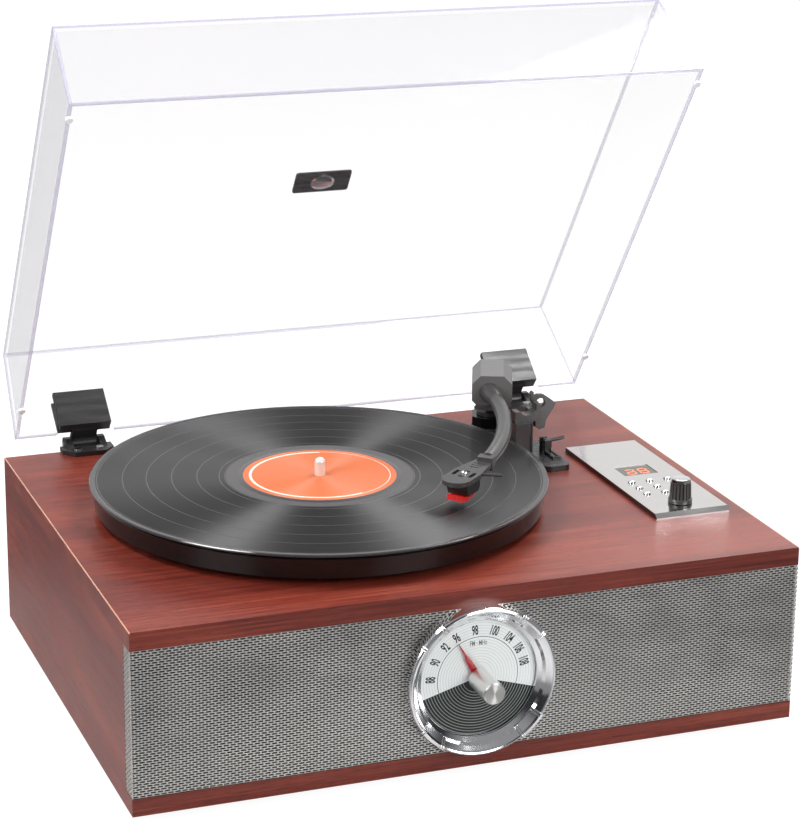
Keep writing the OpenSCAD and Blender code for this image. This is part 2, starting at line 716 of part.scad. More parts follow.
// ---------- tonearm ----------
module pad_outline(edge) {
    low_x = pad_left + pad_corner;
    high_x = pad_right - pad_corner;
    for (x = [low_x, high_x]) translate([x, pad_front + pad_corner])
        circle(r = pad_corner - edge);
    translate([pad_left + edge, pad_front + pad_corner])
        square([pad_right - pad_left - 2 * edge, pad_rear - pad_front - pad_corner - edge]);
    translate([low_x, pad_front + edge]) square([high_x - low_x, pad_corner]);
}
module lift_guide_place() rotate([0, 0, lift_turn]) translate([lift_r, 0, 0]) children();
module tonearm_base() color(black) on_top(pivot_x, pivot_y) difference() {
    union() {
        linear_extrude(base_t) {
            pad_outline(0);
            circle(r = skirt_r);
            polygon([[tower_left, tower_front], [pad_left + 1, tower_front],
                [pad_left + 1, pad_rear], [skirt_r / 2, -skirt_r / 2],
                [-skirt_r / 2, -skirt_r / 2], [tower_left - 5, tower_rear]]);
        }
        translate([0, 0, base_t]) cylinder(r1 = skirt_r, r2 = housing_w / 2,
            h = skirt_h - base_t);
        translate([pad_right - 8, pad_front + 14, base_t - 1])
            cube([6, 16, pad_t - base_t + 1]);
        translate([0, 0, -top_t - 4]) cylinder(r = stub_r, h = top_t + 5);
        lift_guide_place() cylinder(r = lift_rod_r + 3, h = 20);
        translate([tower_left, tower_front, 0]) linear_extrude(tower_top) {
            square([tower_right - tower_left - 4, tower_rear - tower_front]);
            translate([0, 4]) square([tower_right - tower_left,
                tower_rear - tower_front - 4]);
            translate([tower_right - tower_left - 4, 4]) circle(r = 4);
        }
        for (side = [-1, 1]) translate([lever_x - 2.5, lever_y + side * 4.1 - 1, 1])
            cube([5, 2, lever_z + 1]);
    }
    lift_guide_place() translate([0, 0, 2]) cylinder(r = lift_rod_r + run, h = 30);
    translate([rest_x - 1, rest_y, tower_top - 7]) cylinder(r = 3 + run, h = 8);
    translate([lever_x, lever_y - 8, lever_z]) rotate([-90, 0, 0])
        cylinder(r = 1 + run, h = 16);
    translate([pad_right - 4.3, pad_front + 22, base_t - 1]) linear_extrude(5)
        rotate(90) stadium(14, 1.6);
    translate([0, 0, base_t + 1]) cylinder(r = post_r + run, h = skirt_h);
}

module housing_outline() rotate(arm_turn) polygon([for (side = [0 : 7])
    housing_w / 2 * (side % 2 == 0 ? [1, 0.55] : [0.55, 1]) * [
        [cos(90 * floor(side / 2)), sin(90 * floor(side / 2))],
        [-sin(90 * floor(side / 2)), cos(90 * floor(side / 2))]]]);
module pivot_housing() color(black) on_top(pivot_x, pivot_y, skirt_h) difference() {
    linear_extrude(housing_h - skirt_h) housing_outline();
    translate([0, 0, -through]) cylinder(r = post_r + run, h = housing_h);
}

module pivot_post() color(black) on_arm() difference() {
    union() {
        translate([0, 0, base_t + 1 + fit]) cylinder(r = post_r, h = housing_h - base_t);
        translate([0, 0, housing_h + fit]) cylinder(r = 10.5, h = 2.5);
        translate([-tongue_l / 2, -tongue_w / 2, housing_h + 1])
            cube([tongue_l, tongue_w, arm_h - housing_h - 1]);
        translate([0, tongue_w / 2, arm_h]) rotate([90, 0, 0])
            cylinder(r = tongue_l / 2, h = tongue_w);
    }
    translate([0, tongue_w, arm_h]) rotate([90, 0, 0])
        cylinder(r = arm_pin_r + run, h = 2 * tongue_w);
}

module pivot_pin() color(chrome) on_arm() translate([0, arm_pin_l / 2, arm_h])
    rotate([90, 0, 0]) cylinder(r = arm_pin_r, h = arm_pin_l);

module counterweight() color([0.55, 0.54, 0.54]) on_arm() difference() {
    cut = 6;
    half = weight_w / 2;
    rise = weight_h / 2;
    translate([-weight_l / 2, 0, arm_h]) rotate([90, 0, 90]) linear_extrude(weight_l)
        polygon([[half, rise - cut], [half - cut, rise], [cut - half, rise],
            [-half, rise - cut], [-half, cut - rise], [cut - half, -rise], [half - cut, -rise],
            [half, cut - rise]]);
    translate([-tongue_l / 2 - 6, -tongue_w / 2 - 0.4, arm_h - weight_h])
        cube([tongue_l + 12, tongue_w + 0.8, weight_h + 7]);
    translate([0, arm_pin_l / 2 + run, arm_h]) rotate([90, 0, 0])
        cylinder(r = arm_pin_r + run, h = arm_pin_l + 2 * run);
}

module arm_tube() color(dark_grey) on_arm() difference() {
    sloped() {
        translate([tube_crown, curve_y, 0]) rotate([0, 0, angle_end])
            rotate_extrude(angle = angle_start - angle_end) translate([arm_bend, 0])
                circle(r = arm_r);
        translate([tube_start, curve_y + arm_bend * sin(angle_start), 0])
            rotate([0, 0, angle_start - 90]) translate([-2, 0, 0]) rotate([0, 90, 0])
                cylinder(r1 = arm_r + 2.2, r2 = arm_r - 0.1, h = 20);
    }
    block([-weight_l, -weight_w, arm_h - weight_h], [weight_l / 2, weight_w, arm_h + weight_h]);
}

module headshell() color(dark_grey) {
    top = shell_t / 2;
    tip_r = shell_w / 2;
    tip_far = shell_l - tip_r;
    on_arm() sloped() translate([tube_end, tube_end_y, 0]) rotate([0, 0, angle_end - 90])
        translate([0, -arm_r, -arm_r + 1]) cube([shell_neck_l, 2 * arm_r, 2 * arm_r - 2]);
    on_shell() difference() {
        union() {
            translate([0, 0, -top]) linear_extrude(shell_t) {
                translate([tip_far, 0]) circle(r = tip_r);
                polygon([[2, -arm_r], [tip_far - 14, -tip_r], [tip_far, -tip_r],
                    [tip_far, tip_r], [tip_far - 14, tip_r], [2, arm_r]]);
            }
            translate([25, tip_r - 2, 0]) rotate([-90, 0, 22]) cylinder(r = 1, h = 14);
        }
        translate([0, 0, -shell_t]) linear_extrude(2 * shell_t) {
            for (side = [-1, 1]) translate([stylus_far - 1, side * 6]) stadium(9, 2.6);
            for (row = [0 : 2], column = [-1 : 1])
                translate([12 + 3.4 * row, column * (3.1 - 0.5 * row)]) square([1, 2],
                    center = true);
        }
    }
}

shell_drop = (tube_end + stylus_far - tube_start) * sin(arm_slope);
tip_z = record_top - groove_dip + fit - arm_h + shell_drop;
module cartridge() color(black) on_shell() difference() {
    translate([stylus_far - 9, 0, 0]) rotate([90, 0, 0])
        linear_extrude(15, center = true) polygon([[0, -shell_t / 2], [17, -shell_t / 2],
            [17, -6], [15, -10.5], [2, -10.5], [0, -8]]);
    translate([stylus_far - 2, 0, -12.5]) cube([12, 8, 8], center = true);
}

module stylus() color("red") on_shell() {
    translate([stylus_far - 7, 0, 0]) rotate([90, 0, 0]) linear_extrude(11, center = true)
        polygon([[1, -10.8], [15.4, -10.8], [18.4, -9], [18.4, -13], [11, -14.6],
            [1, -12.8]]);
    translate([stylus_far, 0, tip_z]) cylinder(r1 = 0.2, r2 = 0.8, h = -13.5 - tip_z);
}

module lift_platform() color(dark_grey) on_top(pivot_x, pivot_y) {
    lift_guide_place() translate([0, 0, 12]) cylinder(r = lift_rod_r, h = lift_top - 13);
    translate([0, 0, lift_top - lift_bar_t]) rotate([0, 0, lift_from])
        rotate_extrude(angle = lift_to - lift_from) translate([lift_r - 2.4, 0])
            square([4.8, lift_bar_t]);
}

module arm_rest() color(dark_grey) on_top(pivot_x, pivot_y) difference() {
    union() {
        translate([rest_x - rest_gap - rest_wall, rest_y - 4, tower_top])
            cube([2 * (rest_gap + rest_wall) + 0.2, 8, arm_h - 6.5 - tower_top]);
        translate([rest_x + rest_gap + 0.2, rest_y - 4, tower_top])
            cube([rest_wall, 8, arm_h - 2 - tower_top]);
        translate([rest_x + rest_gap + rest_wall - 3.5, rest_y, tower_top])
            cube([3.1, 14, 5]);
        translate([rest_x + rest_gap + 0.2, clip_y + clip_t / 2 + 0.4, clip_z - 5])
            cube([clip_x - rest_x - rest_gap + 2.8, 4, tower_top + 10 - clip_z]);
        translate([rest_x - 1, rest_y, tower_top - 6]) cylinder(r = 3, h = 7);
    }
    translate([rest_x, rest_y - 9, rest_floor + rest_gap]) rotate([-90, 0, 0])
        cylinder(r = rest_gap, h = 18);
    translate([clip_x, clip_y, clip_z]) rotate([-90, 0, 0])
        cylinder(r = clip_pin_r + run, h = 12);
}

module rest_clip() color(dark_grey) on_top(pivot_x, pivot_y)
    translate([clip_x, clip_y, clip_z]) rotate([90, 0, 0]) {
        linear_extrude(clip_t, center = true) difference() {
            polygon([[-3.4, -4.4], [-1, -6.4], [3.4, -5.6], [4.4, 0], [8.8, 6.8],
                [11.4, 11.2], [10.9, 12.3], [5.5, 16.4], [2, 18.8], [-2.4, 19.2],
                [-5.2, 18], [-5.5, 21.2], [-6.4, 21.9], [-7.6, 20.6], [-7.5, 15.8],
                [-5.6, 12], [-3.9, 8]]);
            translate([-0.2, 12.9]) circle(r = 3.4);
        }
        translate([0, 0, -clip_t / 2 - 4.5]) cylinder(r = clip_pin_r, h = 6);
    }

module cue_lever() color(black) on_top(pivot_x, pivot_y) translate([lever_x, lever_y, lever_z]) {
    translate([0, -2.7, 0]) rotate([-90, 0, 0]) cylinder(r = 2, h = 5.4);
    translate([0, -5, 0]) rotate([-90, 0, 0]) cylinder(r = 1, h = 10);
    rotate([0, 84, 0]) cylinder(r = 1.3, h = 14);
}

// ---------- dust cover, modelled closed and then opened ----------
module cover_solid(inset, low, high) {
    lean = tan(cover_draft);
    half_low = rim_half - inset;
    half_high = half_low - (high - low) * lean;
    front = rim_front + inset;
    rear = rim_rear - inset;
    rise = (high - low) * lean;
    intersection() {
        translate([0, rim_rear + through, 0]) rotate([90, 0, 0])
            linear_extrude(cab_d + 2 * through) polygon([[-half_low, low], [half_low, low],
                [half_high, high], [-half_high, high]]);
        translate([-cab_w / 2, 0, 0]) rotate([90, 0, 90]) linear_extrude(cab_w)
            polygon([[front, low], [rear, low], [rear - rise, high], [front + rise, high]]);
    }
}
module dust_cover() color([0.9, 0.92, 0.97, 0.3]) opened() difference() {
    cover_solid(0, rim_z, rim_z + cover_h);
    difference() {
        cover_solid(cover_t, rim_z, rim_z + cover_h);
        translate([0, 0, rim_z + cover_h - cover_t + cab_w / 2]) cube(cab_w, center = true);
    }
    translate([0, 0, rim_z - cab_w / 2 + 0.001]) cube(0.002, center = true);
    for (side = [-1, 1]) block([side * hinge_x - notch_w / 2, rim_rear - 9, rim_z - through],
        [side * hinge_x + notch_w / 2, rim_rear + through, rim_z + notch_h]);
}

bumper_h = 2;
module cover_fittings() opened() {
    color("white") for (side = [-1, 1], y = [rim_front + 13, rim_rear - 33])
        translate([side * (rim_half - cover_t / 2), y, rim_z - bumper_h])
            cylinder(r = 2.4, h = bumper_h);
    color(black) translate([0, (rim_front + rim_rear) / 2, rim_z + cover_h])
        linear_extrude(1) {
            square([badge_w, badge_d - 4], center = true);
            square([badge_w - 4, badge_d], center = true);
            for (x = [-1, 1], y = [-1, 1])
                translate([x * (badge_w / 2 - 2), y * (badge_d / 2 - 2)]) circle(r = 2);
        }
}

module hinge_leaf(side) color(black) opened() translate([side * hinge_x, 0, 0]) {
    front = -cover_t - fit;
    translate([0, rim_rear, rim_z]) rotate([cover_draft, 0, 0]) {
        block([-hinge_w / 2, front - leaf_front_t, leaf_low],
            [hinge_w / 2, front, leaf_low + leaf_h]);
        block([-hinge_w / 2, front - 1, leaf_low],
            [hinge_w / 2, fit + leaf_back_t, leaf_low + leaf_floor]);
        block([-hinge_w / 2 - 1, fit, leaf_low],
            [hinge_w / 2 - 2, fit + leaf_back_t, leaf_low + leaf_h - 4]);
    }
    difference() {
        union() {
            block([-knuckle_half, rim_rear - 1, rim_z + 2.2],
                [knuckle_half, hinge_y + 1, rim_z + leaf_low + leaf_floor - 0.7]);
            translate([-knuckle_half, hinge_y, hinge_z]) rotate([0, 90, 0])
                cylinder(r = knuckle_r, h = 2 * knuckle_half);
        }
        translate([-hinge_w, hinge_y, hinge_z]) rotate([0, 90, 0])
            cylinder(r = pin_r + run, h = 2 * hinge_w);
    }
}
module left_hinge_leaf() hinge_leaf(-1);
module right_hinge_leaf() hinge_leaf(1);

module hinge_base(side) color(black) translate([side * hinge_x, 0, 0]) difference() {
    union() {
        half = hinge_w / 2;
        front = back_y - hinge_plate_front;
        rear = hinge_y - knuckle_r - 0.4;
        on_top(0, 0) linear_extrude(hinge_plate_t) polygon([[-half, rear], [half, rear],
            [half, front + 8], [half - 7, front], [7 - half, front], [-half, front + 8]]);
        for (end = [-1, 1]) translate([end * (knuckle_half + fit + cheek_t / 2), 0, 0]) {
            translate([-cheek_t / 2, hinge_y, hinge_z]) rotate([0, 90, 0])
                cylinder(r = knuckle_r + 0.4, h = cheek_t);
            translate([-cheek_t / 2, 0, 0]) rotate([90, 0, 90]) linear_extrude(cheek_t)
                polygon([[hinge_y - 14, cab_h + hinge_plate_t - 0.5],
                    [hinge_y - knuckle_r + 1, cab_h + 0.2], [hinge_y, hinge_z],
                    [hinge_y, hinge_z + knuckle_r + 0.4],
                    [hinge_y - 4, hinge_z + knuckle_r + 0.4]]);
        }
    }
    translate([-hinge_w, hinge_y, hinge_z]) rotate([0, 90, 0])
        cylinder(r = pin_r + run, h = 2 * hinge_w);
    for (step = [-1, 1]) on_top(step * hinge_screw_x, back_y - hinge_screw_y, -through)
        cylinder(r = screw_r + run, h = hinge_plate_t + 2 * through);
}
module left_hinge_base() hinge_base(-1);
module right_hinge_base() hinge_base(1);

module hinge_pins() color(chrome) for (side = [-1, 1])
    translate([side * hinge_x - knuckle_half - cheek_t - 2 * fit, hinge_y, hinge_z])
        rotate([0, 90, 0]) cylinder(r = pin_r, h = 2 * (knuckle_half + cheek_t + 2 * fit));

top_board();
bottom_board();
left_side_panel();
right_side_panel();
rear_panel();
front_baffle();
speaker_grille();
left_speaker();
right_speaker();
dial_bezel();
dial_face();
dial_lens();
tuning_capacitor();
control_panel();
display_window();
control_board();
volume_control();
main_board();
rear_sockets();
platter_bearing();
drive_motor();
drive_belt();
tonearm_base();
pivot_housing();
arm_rest();
left_hinge_base();
right_hinge_base();
hinge_pins();
wood_screws();
rubber_feet();
tuning_knob();
dial_pointer();
tuning_shaft();
volume_knob();
mode_button();
previous_button();
next_button();
play_button();
stop_button();
record_button();
delete_button();
platter();
slipmat();
record();
spindle();
motor_pulley();
pivot_post();
pivot_pin();
arm_tube();
counterweight();
headshell();
cartridge();
stylus();
rest_clip();
cue_lever();
lift_platform();
dust_cover();
left_hinge_leaf();
right_hinge_leaf();
cover_fittings();
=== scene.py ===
# %% [markdown]
# This lesson dresses a stereo music centre: a wooden cabinet with a record player on top, a
# radio dial in front and a clear folding cover. The solids come from a CAD model, in metres,
# each in its right place, so the lesson is about finishes and fine detail. The box of the bare
# model is kept and printed.

# %% Load the solids
import math
import bpy
from mathutils import Matrix, Vector


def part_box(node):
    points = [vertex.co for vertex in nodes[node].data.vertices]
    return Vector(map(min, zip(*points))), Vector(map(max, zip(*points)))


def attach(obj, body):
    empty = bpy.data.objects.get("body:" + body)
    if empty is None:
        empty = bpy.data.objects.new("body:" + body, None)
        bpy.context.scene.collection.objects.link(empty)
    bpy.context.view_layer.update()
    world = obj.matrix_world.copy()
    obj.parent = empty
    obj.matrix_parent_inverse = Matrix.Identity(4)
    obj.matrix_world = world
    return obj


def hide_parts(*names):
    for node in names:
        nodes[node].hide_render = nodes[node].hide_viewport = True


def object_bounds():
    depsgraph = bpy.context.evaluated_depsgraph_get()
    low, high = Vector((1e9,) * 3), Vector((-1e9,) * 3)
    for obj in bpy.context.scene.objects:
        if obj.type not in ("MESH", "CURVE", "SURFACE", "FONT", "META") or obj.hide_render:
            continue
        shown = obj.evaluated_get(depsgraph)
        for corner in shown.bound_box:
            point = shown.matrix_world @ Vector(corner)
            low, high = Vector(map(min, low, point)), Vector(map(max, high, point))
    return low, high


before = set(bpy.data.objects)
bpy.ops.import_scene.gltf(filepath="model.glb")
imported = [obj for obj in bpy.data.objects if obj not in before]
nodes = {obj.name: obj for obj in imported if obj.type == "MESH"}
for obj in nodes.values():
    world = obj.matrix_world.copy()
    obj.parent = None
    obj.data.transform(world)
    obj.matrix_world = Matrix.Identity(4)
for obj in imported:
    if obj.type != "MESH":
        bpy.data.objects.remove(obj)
cad_low, cad_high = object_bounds()
MM = 0.001
print("solids:", len(nodes), "box:", tuple(cad_low), tuple(cad_high))

# %% [markdown]
# Places that several pieces need are named once. The cabinet stands on z = 0 and its middle is
# the origin. The dial is on the front, the record and its spindle are left of the middle, and
# the cover turns about a line behind the cabinet.

# %% Named places
TOP = 117.4 * MM
FRONT, BACK = -167.5 * MM, 167.5 * MM
END = 219 * MM
DIAL_Z = 58.7 * MM
SPINDLE = Vector((-43.5, 7.44, 0)) * MM
HINGE = Vector((0, 174.6, 120.2)) * MM
OPEN = math.radians(55.2)

# %% [markdown]
# A camera can be aimed by hand or by numbers. Here it stands in front and to the left, a little
# above, with a long lens, which keeps the cabinet's edges nearly parallel as in a product
# picture. The three columns of its matrix are its right, its up and its back.

# %% Camera
lens_data = bpy.data.cameras.new("camera")
camera = bpy.data.objects.new("camera", lens_data)
bpy.context.scene.collection.objects.link(camera)
right = Vector((0.931, -0.3646, 0.0168)).normalized()
ahead = Vector((0.3527, 0.8867, -0.2989)).normalized()
up = right.cross(ahead).normalized()
right = ahead.cross(up)
camera.matrix_world = Matrix.Translation((-0.5719, -1.5504, 0.7042)) @ Matrix(
    (right, up, -ahead)).transposed().to_4x4()
lens_data.lens = 114.86
lens_data.sensor_width = 36
lens_data.shift_x = -0.0605
lens_data.shift_y = -0.0145
bpy.context.scene.camera = camera
print("camera looks along", tuple(round(v, 3) for v in ahead))

# %% [markdown]
# The studio is a very large pale floor that also fills the background, soft lamps and a sky
# that is white behind the cabinet, grey overhead and dark low down in front, as a room behind
# the photographer is. Chrome and black plastic show only what they mirror, so that dark side
# gives them their contrast. For the same reason the floor looks darker further out in mirrors.

# %% Helper for node trees
def place(tree, kind, settings=None, **sockets):
    """Adds a node. Sockets take plain values or another node's output."""
    node = tree.nodes.new("ShaderNode" + kind)
    for key, value in (settings or {}).items():
        setattr(node, key, value)
    for key, value in sockets.items():
        named = key[0] != "n" or not key[1:].isdigit()
        socket = node.inputs[key.replace("_", " ") if named else int(key[1:])]
        if isinstance(value, bpy.types.NodeSocket):
            tree.links.new(value, socket)
        else:
            socket.default_value = value
    return node


def calc(tree, operation, a, b=0.5, c=0.5):
    """One sum on plain values or outputs."""
    return place(tree, "Math", {"operation": operation}, n0=a, n1=b, n2=c).outputs[0]


def blended(tree, share, a, b):
    """One colour turning into another by share."""
    return place(tree, "Mix", {"data_type": "RGBA"}, n0=share, n6=a, n7=b).outputs[2]


def between(tree, value, low, high, to_low=0.0, to_high=1.0):
    """A value spread from one range to another, and held there."""
    return place(tree, "MapRange", {"interpolation_type": "SMOOTHSTEP"}, Value=value,
                 From_Min=low, From_Max=high, To_Min=to_low, To_Max=to_high).outputs[0]


print("node helpers are ready")

# %% Sky, lamps and floor
FLOOR_GLOW = 0.93
world = bpy.data.worlds.new("studio")
bpy.context.scene.world = world
world.use_nodes = True
sky = world.node_tree
sky.nodes.clear()
facing = place(sky, "SeparateXYZ", Vector=place(sky, "TexCoord").outputs["Generated"])
backdrop = blended(sky, between(sky, facing.outputs["Y"], -0.25, 0.30),
                   (0.035, 0.034, 0.038, 1), (1.0, 1.0, 1.0, 1))
bands = blended(sky, between(sky, facing.outputs["Z"], 0.28, 0.62), backdrop,
                (0.30, 0.30, 0.31, 1))
behind = place(sky, "Background", Color=bands, Strength=0.9)
seen = place(sky, "Background", Color=(1, 1, 1, 1), Strength=1.0)
which = place(sky, "MixShader", Fac=place(sky, "LightPath").outputs["Is Camera Ray"],
              n1=behind.outputs[0], n2=seen.outputs[0])
sky.links.new(which.outputs[0], place(sky, "OutputWorld").inputs[0])


def lamp(name, where, target, size, watts):
    """A square soft lamp that faces a point."""
    data = bpy.data.lights.new(name, "AREA")
    data.size = size
    data.energy = watts
    obj = bpy.data.objects.new(name, data)
    bpy.context.scene.collection.objects.link(obj)
    obj.location = where
    obj.rotation_mode = "QUATERNION"
    obj.rotation_quaternion = (Vector(target) - Vector(where)).to_track_quat("-Z", "Y")


lamp("lamp overhead left", (-0.80, 0.15, 1.5), (0, 0, 0.1), 0.5, 16)
lamp("lamp overhead right", (0.80, 0.15, 1.5), (0, 0, 0.1), 0.5, 16)
lamp("lamp above left", (-1.8, -0.7, 1.2), (0, 0, 0.1), 1.0, 20)
lamp("lamp behind right", (1.4, 1.5, 1.8), (0, 0, 0.1), 1.2, 12)
lamp("panel in front", (1.1, -2.3, 1.0), (0, 0, 0.06), 1.4, 36)
bpy.ops.object.select_all(action="DESELECT")
bpy.ops.mesh.primitive_plane_add(size=60, location=(0, 0, cad_low.z - 0.0002))
floor = bpy.context.object
floor.name = "floor"
paper = bpy.data.materials.new("paper")
paper.use_nodes = True
sheet = paper.node_tree
sheet_shader = sheet.nodes["Principled BSDF"]
sheet_shader.inputs["Roughness"].default_value = 0.9
sheet_shader.inputs["Specular IOR Level"].default_value = 0.1
sheet_shader.inputs["Emission Color"].default_value = (1, 1, 1, 1)
spot = place(sheet, "VectorMath", {"operation": "LENGTH"},
             n0=place(sheet, "TexCoord").outputs["Object"])
ray = place(sheet, "LightPath")
sheet.links.new(blended(sheet, ray.outputs["Is Camera Ray"], (0.55, 0.55, 0.55, 1),
                        (0.22, 0.22, 0.22, 1)), sheet_shader.inputs["Base Color"])
sheet.links.new(calc(sheet, "MULTIPLY", ray.outputs["Is Camera Ray"], FLOOR_GLOW),
                sheet_shader.inputs["Emission Strength"])
dim = place(sheet, "BsdfDiffuse", Color=(0.10, 0.10, 0.105, 1))
away = calc(sheet, "MULTIPLY", ray.outputs["Is Glossy Ray"],
            between(sheet, spot.outputs["Value"], 0.22, 0.42, 0.0, 0.9))
laid = place(sheet, "MixShader", Fac=away, n1=sheet_shader.outputs[0], n2=dim.outputs[0])
sheet.links.new(laid.outputs[0], sheet.nodes["Material Output"].inputs["Surface"])
floor.data.materials.append(paper)
bpy.context.scene.view_settings.view_transform = "Standard"
print("studio is lit by", len(bpy.data.lights), "lamps")

# %% [markdown]
# No real surface has one flat colour. The group below stands for what handling and moulding do
# to any finish: broad clouds of slightly lighter and darker tone, fine grain, and faint wipe
# marks. It gives out a tone, a change of roughness and a height, and each material decides how
# much of each it takes.

# %% Shared group: handled surface
def new_group(name, inputs, outputs):
    """An empty node group with its sockets."""
    tree = bpy.data.node_groups.new(name, "ShaderNodeTree")
    for label, kind, value in inputs:
        socket = tree.interface.new_socket(label, in_out="INPUT", socket_type=kind)
        if value is not None:
            socket.default_value = value
    for label, kind in outputs:
        tree.interface.new_socket(label, in_out="OUTPUT", socket_type=kind)
    return tree, tree.nodes.new("NodeGroupInput"), tree.nodes.new("NodeGroupOutput")


FLOAT, VECTOR = "NodeSocketFloat", "NodeSocketVector"
handled, goes_in, goes_out = new_group("handled surface", [
    ("Vector", VECTOR, None), ("Grain", FLOAT, 900.0), ("Clouds", FLOAT, 14.0)],
    [("Tone", FLOAT), ("Wiped", FLOAT), ("Height", FLOAT)])
clouds = place(handled, "TexNoise", Vector=goes_in.outputs["Vector"],
               Scale=goes_in.outputs["Clouds"], Detail=3.0)
grain = place(handled, "TexNoise", Vector=goes_in.outputs["Vector"],
              Scale=goes_in.outputs["Grain"], Detail=2.0)
wipe_way = place(handled, "Mapping", Vector=goes_in.outputs["Vector"],
                 Rotation=(0.2, 0.1, 0.6), Scale=(30, 260, 60))
wipes = place(handled, "TexNoise", Vector=wipe_way.outputs[0], Scale=1.0, Detail=4.0)
tone = calc(handled, "MULTIPLY_ADD", grain.outputs["Fac"], 0.4,
            calc(handled, "MULTIPLY", clouds.outputs["Fac"], 0.6))
handled.links.new(tone, goes_out.inputs["Tone"])
handled.links.new(wipes.outputs["Fac"], goes_out.inputs["Wiped"])
handled.links.new(grain.outputs["Fac"], goes_out.inputs["Height"])
print("group:", handled.name)

# %% [markdown]
# Most materials follow one recipe: two close colours mixed by the tone, a roughness that the
# wipe marks change, and a very low bump. A helper writes the recipe, so each finish below is a
# line of numbers that can be compared with its neighbours.

# %% Recipe for a moulded or painted finish
def begin(name):
    """A new material, its tree, its main shader and its object coordinates."""
    made = bpy.data.materials.new(name)
    made.use_nodes = True
    tree = made.node_tree
    return made, tree, tree.nodes["Principled BSDF"], place(tree, "TexCoord").outputs["Object"]


def lay_on(tree, name, **sockets):
    """Places one of the shared groups in a material."""
    return place(tree, "Group", {"node_tree": bpy.data.node_groups[name]}, **sockets)


def raise_by(tree, shader, height, distance):
    """Turns a height into a bump on the shader."""
    bump = place(tree, "Bump", Height=height, Distance=distance, Strength=1.0)
    tree.links.new(bump.outputs[0], shader.inputs["Normal"])


def shade(rgb, by=1.0):
    """A colour from three numbers, made lighter or darker."""
    return (*(min(1.0, c * by) for c in rgb), 1.0)


def touched(tree, where, grain, **more):
    """The handled surface in a material, with its own grain."""
    return lay_on(tree, "handled surface", Vector=where, Grain=grain, **more)


def toned(tree, touch, dark, light):
    """Two close colours mixed by the tone."""
    return blended(tree, touch.outputs["Tone"], (*dark, 1), (*light, 1))


def wiped(tree, shader, touch, low, high):
    """A roughness that the wipe marks move from low to high."""
    tree.links.new(between(tree, touch.outputs["Wiped"], 0.3, 0.7, low, high),
                   shader.inputs["Roughness"])


def plainly(shader, **values):
    """Sets plain values on the shader, with _ for a space."""
    for key, value in values.items():
        shader.inputs[key.replace("_", " ")].default_value = value


def finish(name, rgb, rough=0.4, metal=0.0, spread=0.12, grain=900.0, bump=0.01, slack=0.08,
           **plain):
    """A material for one finish. rgb is its middle colour and spread how far the tone moves it."""
    made, tree, shader, where = begin(name)
    touch = touched(tree, where, grain)
    colour = blended(tree, touch.outputs["Tone"], shade(rgb, 1 - spread), shade(rgb, 1 + spread))
    tree.links.new(colour, shader.inputs["Base Color"])
    wiped(tree, shader, touch, max(rough - slack, 0.02), rough + slack)
    raise_by(tree, shader, touch.outputs["Height"], bump * MM)
    plainly(shader, Metallic=metal, **plain)
    return made


def dress(material, *names):
    """Gives CAD nodes a material."""
    for name in names:
        nodes[name].data.materials.clear()
        nodes[name].data.materials.append(material)
    print(material.name, "->", ", ".join(names))


# %% [markdown]
# The cabinet is covered with a reddish mahogany foil under lacquer. Wood grain is long thin
# streaks with short dark pores, so one noise is stretched along the grain and a second, much
# finer one is cut off to leave only its darkest dashes. The grain runs across the front on the
# top and bottom boards and from front to back on the sides, so there are two materials from
# one group.

# %% Shared group: wood grain
veneer, goes_in, goes_out = new_group("wood grain", [
    ("Vector", VECTOR, None), ("Seed", FLOAT, 0.0)],
    [("Streak", FLOAT), ("Pores", FLOAT), ("Figure", FLOAT)])
shift = place(veneer, "CombineXYZ", X=goes_in.outputs["Seed"], Y=goes_in.outputs["Seed"])
moved = place(veneer, "VectorMath", {"operation": "ADD"}, n0=goes_in.outputs["Vector"],
              n1=shift.outputs[0])
figure_way = place(veneer, "Mapping", Vector=moved.outputs[0], Scale=(3.0, 26.0, 26.0))
figure = place(veneer, "TexNoise", Vector=figure_way.outputs[0], Scale=1.0, Detail=4.0,
               Distortion=0.6)
streak_way = place(veneer, "Mapping", Vector=moved.outputs[0], Scale=(13.0, 600.0, 600.0))
streak = place(veneer, "TexNoise", Vector=streak_way.outputs[0], Scale=1.0, Detail=5.0,
               Roughness=0.62)
pore_way = place(veneer, "Mapping", Vector=moved.outputs[0], Scale=(90.0, 1500.0, 1500.0))
pore = place(veneer, "TexNoise", Vector=pore_way.outputs[0], Scale=1.0, Detail=1.0)
veneer.links.new(streak.outputs["Fac"], goes_out.inputs["Streak"])
veneer.links.new(between(veneer, pore.outputs["Fac"], 0.56, 0.68), goes_out.inputs["Pores"])
veneer.links.new(between(veneer, figure.outputs["Fac"], 0.3, 0.7), goes_out.inputs["Figure"])
print("group:", veneer.name)


